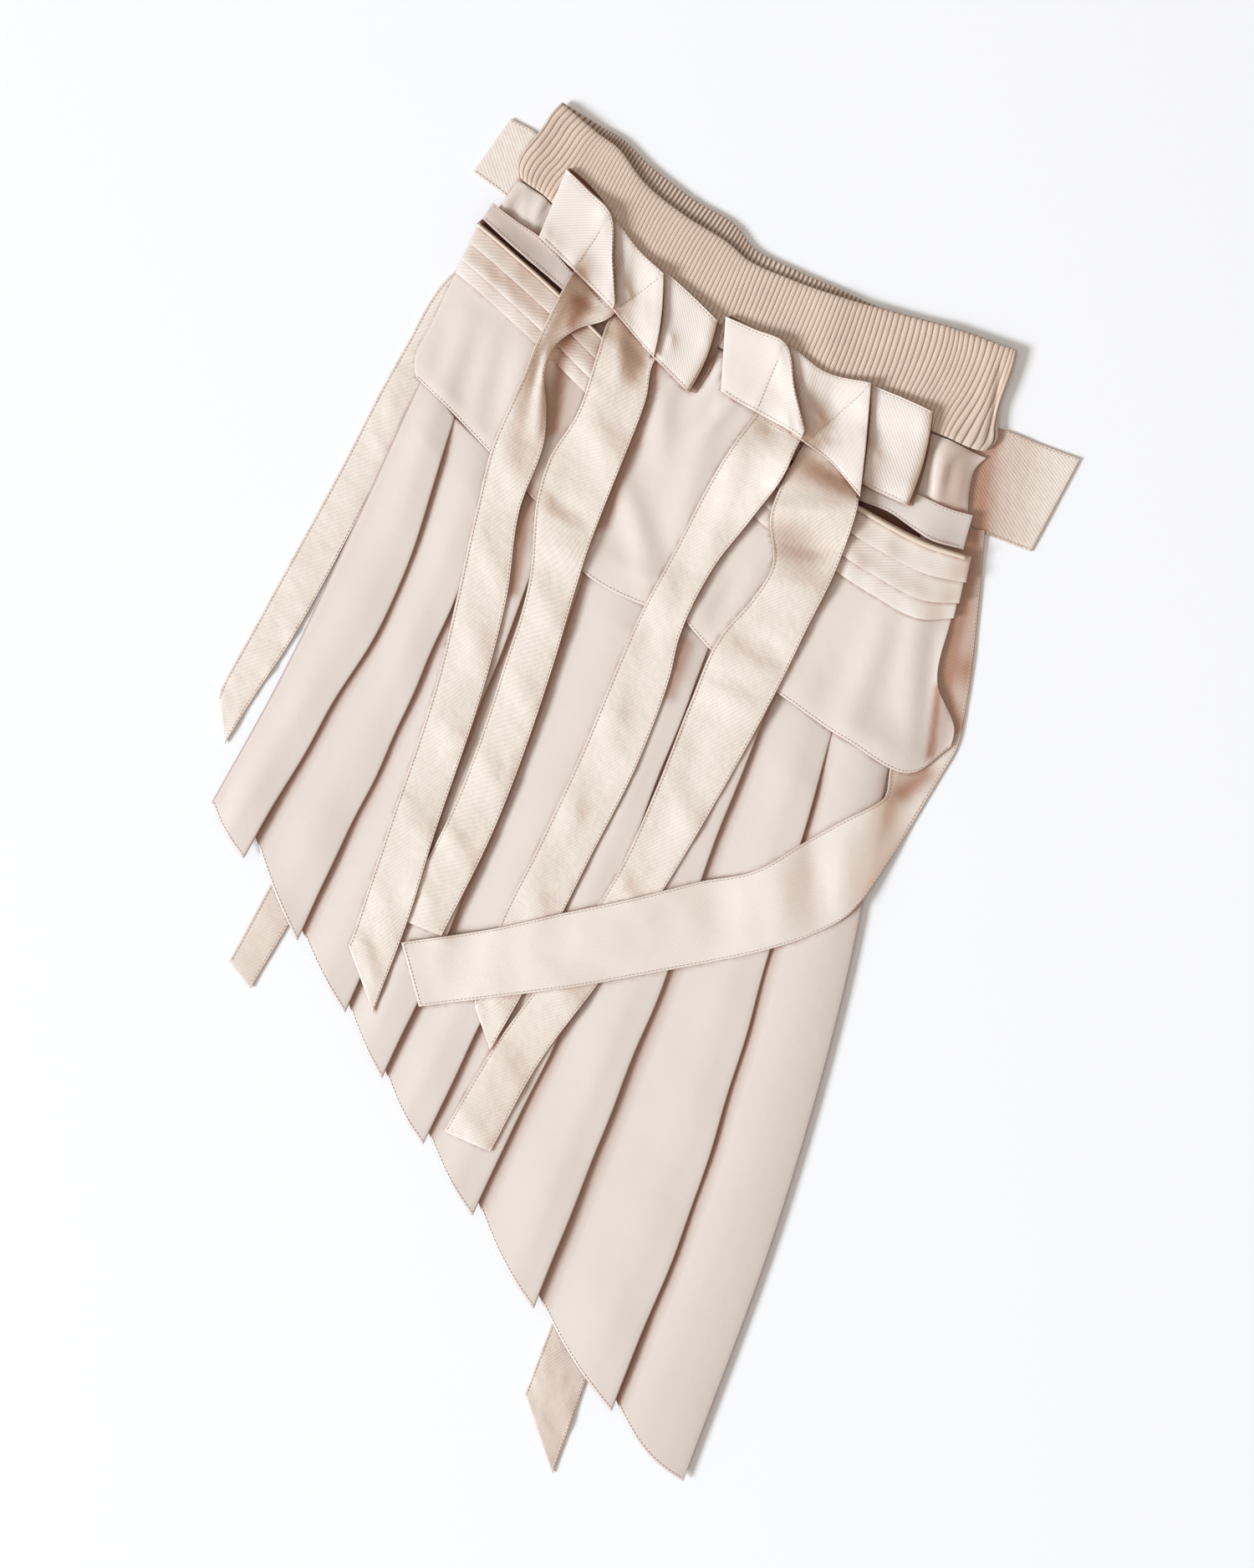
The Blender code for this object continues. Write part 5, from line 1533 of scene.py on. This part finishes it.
def waistband(relief):
    """Flattened rib tube: a closed round of ribs, front and back, with its top edge rolled over."""
    shares, side, ribs, tone, front_count = band_columns()
    top, bottom, rise = band_edges(shares, side)
    in_front = (side > 0)[None]
    down = spread(BAND_DEPTH, BAND_DEPTH / BAND_ROWS, RIB_LAYER)
    v = down[:, None, None]
    level = np.stack([rise[:, 1], -rise[:, 0]], axis=-1)
    bent_ribs = [[bend.rib] for bend in RIB_BENDS]
    bends = smooth([(0, *bend[1:], 0) for bend in RIB_BENDS], shares, guide=bent_ribs)
    sideways = smooth(bends.T * MM, down, guide=np.array(RIB_BEND_DEPTHS)[:, None])
    flat = top[None] * (1 - v) + bottom[None] * v + level[None] * sideways[..., None]
    depth = np.linalg.norm(top - bottom, axis=1)[None, :] * down[:, None]
    roll = 1 - np.clip(depth / BAND_ROLL, 0, 1)
    hem = 1 - np.clip((1 - down[:, None]) * BAND_DEPTH / BAND_ROLL, 0, 1)
    drop = (BAND_ROLL_DROP * (1 - np.sqrt(1 - roll ** 2)) + BAND_HEM_DROP * hem ** 2) * in_front
    rng = np.random.default_rng(BAND_SEED)
    swell = np.zeros(flat.shape[:2])
    for _ in range(BAND_SWELLS):
        at, wide, lean = rng.uniform(0, 1), rng.uniform(*SWELL_WIDTH), rng.uniform(*SWELL_LEAN)
        height = rng.uniform(*SWELL_HEIGHT) * MM
        swell += height * np.exp(-((shares[None] - at - lean * down[:, None]) / wide) ** 2)
    level_of_band = BAND_MIDDLE + side[None] * BAND_HALF_GAP + swell * in_front - drop
    relief_of_ribs = RIB_RELIEF * (ribs - RIB_MIDDLE)[None] * np.sign(side)[None]
    heights = level_of_band + relief_of_ribs + creases("waistband", flat) * in_front
    top = piece("waistband", laid(flat, heights), RIB_LAYER, BAND, "laid", ["yoke_back"], wrap=True,
                upward=np.s_[:, :front_count], tone=np.broadcast_to(tone[None], heights.shape))
    relief.add(top[:, :front_count])


def wavy_fold_lines(down, rng):
    """The pleats' fold lines, all but the outer two with a slow wave."""
    lines = [fold_line(fold, down) for fold in FOLDS]
    for line in lines[1:-1]:
        run = unit(np.gradient(line, axis=0))
        sideways = np.stack([run[:, 1], -run[:, 0]], axis=-1)
        still_at_ends = np.sin(math.pi * np.clip(down, 0, 1))
        line += sideways * (FOLD_WAVE * still_at_ends * (wander(down, rng) - 0.5))[:, None]
    return lines


def hem_drop(line, depth):
    """Shift that lengthens a line at the hem, fading out over its lower half."""
    fade = np.clip(2 * shares_along(line) - 1, 0, 1) ** 2
    return fade[:, None] * depth * unit(line[-1] - line[-2])


def pleated_front(relief):
    """Knife pleats: each panel folds under at its right edge and comes back out below."""
    low = FRONT_HEIGHT + SATIN_THICKNESS / 2
    down = spread(PLEAT_LENGTH, PLEAT_LENGTH / PLEAT_ROWS, SATIN_THICKNESS)
    down = down * (1 + PLEATS_ABOVE) - PLEATS_ABOVE
    ready_to_open = np.clip((down + PLEATS_ABOVE) / PLEATS_OPENING, 0, 1)
    step = LAYER_STEP * (PLEATS_CLOSED + (1 - PLEATS_CLOSED) * ready_to_open)
    small, under_height = step / 2, low + step
    rng = np.random.default_rng(PLEAT_SEED)
    depth = (UNDERLAY_AT_SEAM + (UNDERLAY_AT_HEM - UNDERLAY_AT_SEAM) * down)[:, None]
    edge_lines = wavy_fold_lines(down, rng)
    columns, heights, tones = [], [], []

    def add(line, height, tone=0.0):
        columns.append(line)
        heights.append(np.broadcast_to(height, len(down)))
        tones.append(tone * ready_to_open)

    start = edge_lines[0]
    last = len(FOLDS) - 1
    for index in range(1, last + 1):
        fold, edge, is_last = FOLDS[index], edge_lines[index], index == last
        along = edge - edge_lines[index - 1]
        width = np.linalg.norm(along, axis=1)
        along = along / width[:, None]
        lift = EDGE_LIFT * (LIFT_AT_TOP + LIFT_GROWTH * down) * wander(down, rng) * ready_to_open
        open_height = low + step + FOLD_OPEN * lift
        radius = np.zeros(len(down)) if is_last else (low + 2 * step + lift - open_height) / 2
        end = edge - along * radius[:, None]
        shares = np.linspace(0, 1, PANEL_COLUMNS)
        if is_last:
            shares = spread(PANEL_WIDTH, PANEL_WIDTH / PANEL_COLUMNS, SATIN_THICKNESS)
        if index > 1:
            shares = np.union1d(shares, np.array(FOLD_SHADE_WIDTHS) / PANEL_WIDTH)
        ripple = ripples(down, rng)
        begin, ready = RISE_START / width, 1 - depth[:, 0] / width - RISE_MARGIN
        for share in shares:
            line = start * (1 - share) + end * share
            bow = math.sin(math.pi * share)
            line = line + hem_drop(line, fold.hem_curve * MM * bow)
            climb = np.clip((share - begin) / np.maximum(ready - begin, LEAST_RISE), 0, 1)
            level = climb * climb * (3 - 2 * climb) * (2 * step + lift)
            if is_last:
                level = LAST_PANEL_PUFF * bow ** LAST_PANEL_POWER
            puff = PANEL_PUFF * bow * (PUFF_AT_HEM + PUFF_GROWTH * (1 - down))
            puff = puff + RIPPLE_HEIGHT * ripple(share) * bow
            # Painted shadow on this panel beside the fold edge above it
            shade = np.interp(share * PANEL_WIDTH, FOLD_SHADE_WIDTHS, FOLD_SHADE_TONES) if index > 1 else 0.0
            add(line, low + level + puff, shade)
        if is_last:
            break
        short = notch_share(fold)
        shorter = short + HIDDEN_HEM_UP / length_of(edge)
        hidden, notch = (np.stack([np.interp(down * (1 - share), down, part) for part in edge.T], axis=-1)
                         for share in (shorter, short))
        for turn in HALF_TURN:
            out, up = radius * math.cos(turn), radius * math.sin(turn)
            # Painted shade on the fold's turn, deepest underneath
            tone = FOLD_EDGE_SHADE * (FOLD_EDGE_BASE - math.sin(turn))
            add(end + along * out[:, None], open_height + radius + up, tone)
        fold_back = hidden - along * depth + along * small[:, None]
        for share in RETURN_SHARES:
            height = under_height + (open_height - under_height) * (1 - share) ** 2
            add(end * (1 - share) + fold_back * share, height)
        for turn in UNDER_TURNS:
            add(fold_back - along * (small * math.cos(turn))[:, None], low + small + small * math.sin(turn))
        for share in UNDERLAY_SHARES:
            # The underlay in full painted shade
            add(fold_back * (1 - share) + notch * share, low, 1.0)
        start = notch
    grid = laid(np.stack(columns, axis=1), np.stack(heights, axis=1))
    relief.add(piece("skirt_front", grid, SATIN_THICKNESS, BODY, "folded", ["skirt_back"],
                     [(-STITCH_INSET, 1)], tone=np.stack(tones, axis=1)))


def yoke_patch(hem, lap):
    """The yoke from the waistband down to a hem line, with its lower edge moved down by the lap."""
    shift = lap / SCALE
    down_x, down_y = -shift * math.sin(PICTURE_TURN), shift * math.cos(PICTURE_TURN)
    bottom = [(x + down_x, y + down_y) for x, y in hem]
    return Patch([(rib.bottom_x, rib.bottom_y) for rib in RIBS], bottom,
                 YOKE_LEFT[:-1] + [bottom[0]], YOKE_RIGHT[:-1] + [bottom[-1]])


def plain_backs(relief):
    """Backs of the skirt and yoke, lying flat just inside the sides of the front above them."""
    down = spread(PLEAT_LENGTH, BACK_STEP, SATIN_THICKNESS)
    lines = [fold_line(fold, down, notch_share(fold) + HIDDEN_HEM_UP / length_of(fold_line(fold, down)))
             for fold in FOLDS]
    patch = yoke_patch([(fold.top_x, fold.top_y) for fold in FOLDS], -GAP)
    yoke_down = spread(YOKE_DEPTH, BACK_STEP, SATIN_THICKNESS) * (1 - BACK_WAIST_SEAM) + BACK_WAIST_SEAM
    yoke = patch_points(patch, shares_along(plan(patch.bottom)), yoke_down)
    for name, flat in (("skirt_back", np.stack(lines, axis=1)), ("yoke_back", yoke)):
        flat = resample(flat, np.linspace(0, 1, len(flat)), spread(WAIST_WIDTH, BACK_STEP, SATIN_THICKNESS))
        across = np.linspace(0, 1, flat.shape[1])
        flat[..., 0] += BACK_INSET * np.interp(across, BACK_INSET_AT, BACK_INSET_SHARES)
        height = np.full(flat.shape[:2], BACK_HEIGHT + SATIN_THICKNESS / 2)
        relief.add(piece(name, laid(flat, height), SATIN_THICKNESS, BODY, "laid", []))


def yoke_front(relief):
    """Gathered front of the yoke, from the waistband to its seam over the pleats."""
    patch = yoke_patch(YOKE_HEM, YOKE_LAP)
    width, length = WAIST_WIDTH, YOKE_DEPTH

    def points_at(u, v):
        return patch_points(patch, u, WAIST_SEAM + np.asarray(v) * (1 - WAIST_SEAM))

    u, v, flat, rest, lowest = drape(points_at, width, length, relief, SATIN_THICKNESS, YOKE_ROUNDS)
    rng = np.random.default_rng(YOKE_SEED)
    x, y = u[None, :] * width, v[:, None] * length
    gathers = np.zeros(flat.shape[:2])
    for _ in range(GATHER_COUNT):
        at, wide = rng.uniform(0, 1) * width, rng.uniform(*GATHER_WIDTH) * MM
        far, lean = rng.uniform(*GATHER_REACH) * MM, rng.uniform(*GATHER_LEAN)
        ridge = np.exp(-((x - at - lean * y) / (wide * (1 + y / far))) ** 2)
        gathers += rng.uniform(*GATHER_HEIGHT) * MM * ridge * np.exp(-(y / far) ** GATHER_FADE)
    heights = rest + np.minimum(gathers, GATHER_LIMIT) + creases("yoke_front", flat)
    grid = laid(flat, softened(np.maximum(heights, lowest)))
    seam = laid_line(np.swapaxes(grid, 0, 1), SATIN_THICKNESS, -STITCH_INSET)
    shown = np.abs(u - YOKE_SEAM_MIDDLE) < YOKE_SEAM_HALF
    relief.add(piece("yoke_front", grid, SATIN_THICKNESS, PAINTED_LIGHTER_PANEL, "gathered", ["yoke_back", "skirt_front"],
                     extra=[seam[shown]]))


def pocket_piece(name, side, upper, lower, relief, thickness, material, rests_on, rounds=TUCK_ROUNDS,
                 lift=0.0, bulge=0.0, seams=(), crinkles=0, trim_of=None, overhang=0.0, side_lift=0.0):
    """Part of a pocket panel's patch between two shares of its depth."""
    patch = POCKETS[side]
    width = length_of(plan(patch.top))
    length = (lower - upper) * (length_of(plan(patch.left)) + length_of(plan(patch.right))) / 2
    before_end, end = plan(patch.top[-2:])
    outward = unit(end - before_end)

    def points_at(u, v):
        flat = patch_points(patch, u, upper + np.asarray(v) * (lower - upper))
        return flat + overhang * (np.asarray(u) ** TUCK_STEP_POWER)[None, :, None] * outward

    u, v, flat, rest, lowest = drape(points_at, width, length, relief, thickness, rounds)
    rng = np.random.default_rng(sum(map(ord, name)))
    across, down = u[None, :], v[:, None]
    heights = rest + lift * down ** 2 + side_lift * across ** SIDE_LIFT_POWER
    heights += creases(name, flat) + bulge * np.sin(math.pi * down) * np.sin(math.pi * across)
    for _ in range(crinkles):
        at, wide = rng.uniform(0, width), rng.uniform(*CRINKLE_WIDTH) * MM
        lean, height = rng.uniform(*CRINKLE_LEAN), rng.uniform(*CRINKLE_HEIGHT) * MM
        ridge = np.exp(-((across * width - at - lean * down * length) / wide) ** 2)
        heights += height * ridge * (CRINKLE_AT_TOP + CRINKLE_GROWTH * down)
    if crinkles:
        heights += TUCK_PUFF * np.sin(math.pi * down ** TUCK_PUFF_POWER)
    grid = laid(flat, softened(np.maximum(heights, lowest)))
    relief.add(piece(name, grid, thickness, material, "laid", rests_on, seams, trim_of=trim_of))


def pocket(side, relief):
    """Pocket panel with three tucks lapped like tiles, piping on its edge, and the hip band above."""
    panel = f"pocket_{side}"
    # A dark strip of painted shade fills the mouth
    painted_shade_strip(f"pocket_mouth_{side}", relief, MOUTH_THICKNESS, MOUTH_SHADE, MOUTHS[side], panel)
    pocket_piece(panel, side, 0.0, 1.0, relief, SATIN_THICKNESS, PAINTED_LIGHTER_PANEL, ["yoke_front", "skirt_front"],
                 DRAPE_ROUNDS, PANEL_LIFT, PANEL_BULGE, [(-STITCH_INSET, 1)], side_lift=SIDE_LIFT[side])
    below = panel
    for number in range(len(TUCKS), 0, -1):
        tuck, name = TUCKS[number - 1], f"tuck_{side}_{number}"
        pocket_piece(name, side, tuck.upper, tuck.lower, relief, TUCK_THICKNESS, PRESSED, [below],
                     lift=TUCK_LIFT, crinkles=TUCK_CRINKLES, overhang=TUCK_STEP * (len(TUCKS) - number + 1))
        below = name
    pocket_piece(f"piping_{side}", side, PIPING_START, PIPING_END, relief, PIPING_THICKNESS, CORD, [below],
                 trim_of=below)
    belt(f"hip_band_{side}", relief, TUCK_THICKNESS, ["yoke_front"], BODY, HIP_BANDS[side], crinkled=False)


def bow(side, relief):
    """A bow on the front: right wing, centre and left wing, laid in that order over the strips of painted shade."""
    right, middle, left = f"bow_{side}_wing_right", f"bow_{side}_centre", f"bow_{side}_wing_left"

    def strip(place, material, trim_of):
        name = f"bow_{side}_{place}"
        painted_shade_strip(name, relief, GAP_THICKNESS, material, GAPS[name], trim_of)

    # Painted shade on the inner side of the folded end, and painted shadow in the slots and along the rim
    strip("end", FOLD_INSIDE_SHADE, right)
    loop(right, relief, STRIPS[right], ["waistband", "yoke_front"], **RIGHT_WING)
    strip("slot_right", SHADE, right)
    belt(middle, relief, CENTRE_THICKNESS, [right], PRESSED_MIRRORED, rounds=WING_ROUNDS, crinkled=False,
         step=BOW_STEP, end_bow=CENTRE_BOW[side])
    strip("slot_left", SHADE, middle)
    strip("rim", SHADE, left)
    loop(left, relief, STRIPS[left][::-1], [middle], **LEFT_WING)


def main():
    """Lay all pieces in the order in which they lie, from the surface upwards, and declare their cuts."""
    for name in BACK_BELTS:
        belt(name, Relief(), BACK_TAIL_THICKNESS, [])
    under = Relief()
    plain_backs(under)
    pleated_front(under)
    tails = under.copy()
    yoke_front(under)
    waistband(under)
    for side in SIDES:
        pocket(side, under)
    for name in FRONT_TAILS:
        tails.add(belt(name, under, TAIL_THICKNESS, ["skirt_front"]))
    belt("wrap_belt", tails, TAIL_THICKNESS, ["skirt_front", "bow_right_tail_outer"], PRESSED, ends=True)
    for side in SIDES:
        bow(side, under)
    # Painted shade on all cloth but the waistband
    paint_shade(SURFACE)
    for name, cut in CUTS.items():
        cut["with_pieces"] += TRIMS.get(name, [])
        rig.sheet(**cut)
        print(name, "cut", " x ".join(f"{length / MM:.0f}" for length in cut["flat"]), "mm")


main()

# Floor and camera
square = ((-1, -1), (1, -1), (1, 1), (-1, 1))
floor_corners = [(x * FLOOR_HALF, y * FLOOR_HALF, -FLOOR_DROP) for x, y in square]
floor_mesh = bpy.data.meshes.new("floor")
floor_mesh.from_pydata(floor_corners, [], [(0, 1, 2, 3)])
floor_mesh.materials.append(nodes_of("paper floor", FLOOR_COLOUR, PAPER)[0])
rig.stage(placed("floor", floor_mesh))

middle_x, middle_y = plan([PICTURE_MIDDLE])[0]
camera_data = bpy.data.cameras.new("camera")
camera_data.sensor_fit = "VERTICAL"
camera_data.sensor_height = SENSOR
camera_data.lens = LENS
camera = placed("camera", camera_data)
camera.location = (middle_x, middle_y, PICTURE_HEIGHT * SCALE * LENS / SENSOR)
camera.rotation_euler = (0, 0, PICTURE_TURN)
bpy.context.scene.camera = camera


# Light
def lamp(name, side, height, size, watts, colour):
    """A soft square light, placed by its direction in the picture, aimed at the middle."""
    data = bpy.data.lights.new(name, "AREA")
    data.size = size
    data.energy = watts
    data.color = colour
    obj = placed(name, data)
    middle = Vector((middle_x, middle_y, 0))
    obj.location = middle + Vector((*(plan([side])[0] - plan([(0, 0)])[0]), height))
    obj.rotation_euler = (middle - obj.location).to_track_quat("-Z", "Y").to_euler()
    obj.visible_camera = False


for row in LAMPS:
    lamp(*row)

world = bpy.data.worlds.new("studio")
bpy.context.scene.world = world
world.use_nodes = True
background = world.node_tree.nodes["Background"]
background.inputs["Color"].default_value = (*WORLD_COLOUR, 1)
background.inputs["Strength"].default_value = WORLD_STRENGTH
bpy.context.scene.view_settings.view_transform = "Standard"

visual_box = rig.bounds()
with open("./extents.json", "w") as sizes:
    json.dump({"cad": [list(corner) for corner in cad_box],
               "visual": [list(corner) for corner in visual_box]}, sizes, indent=1)
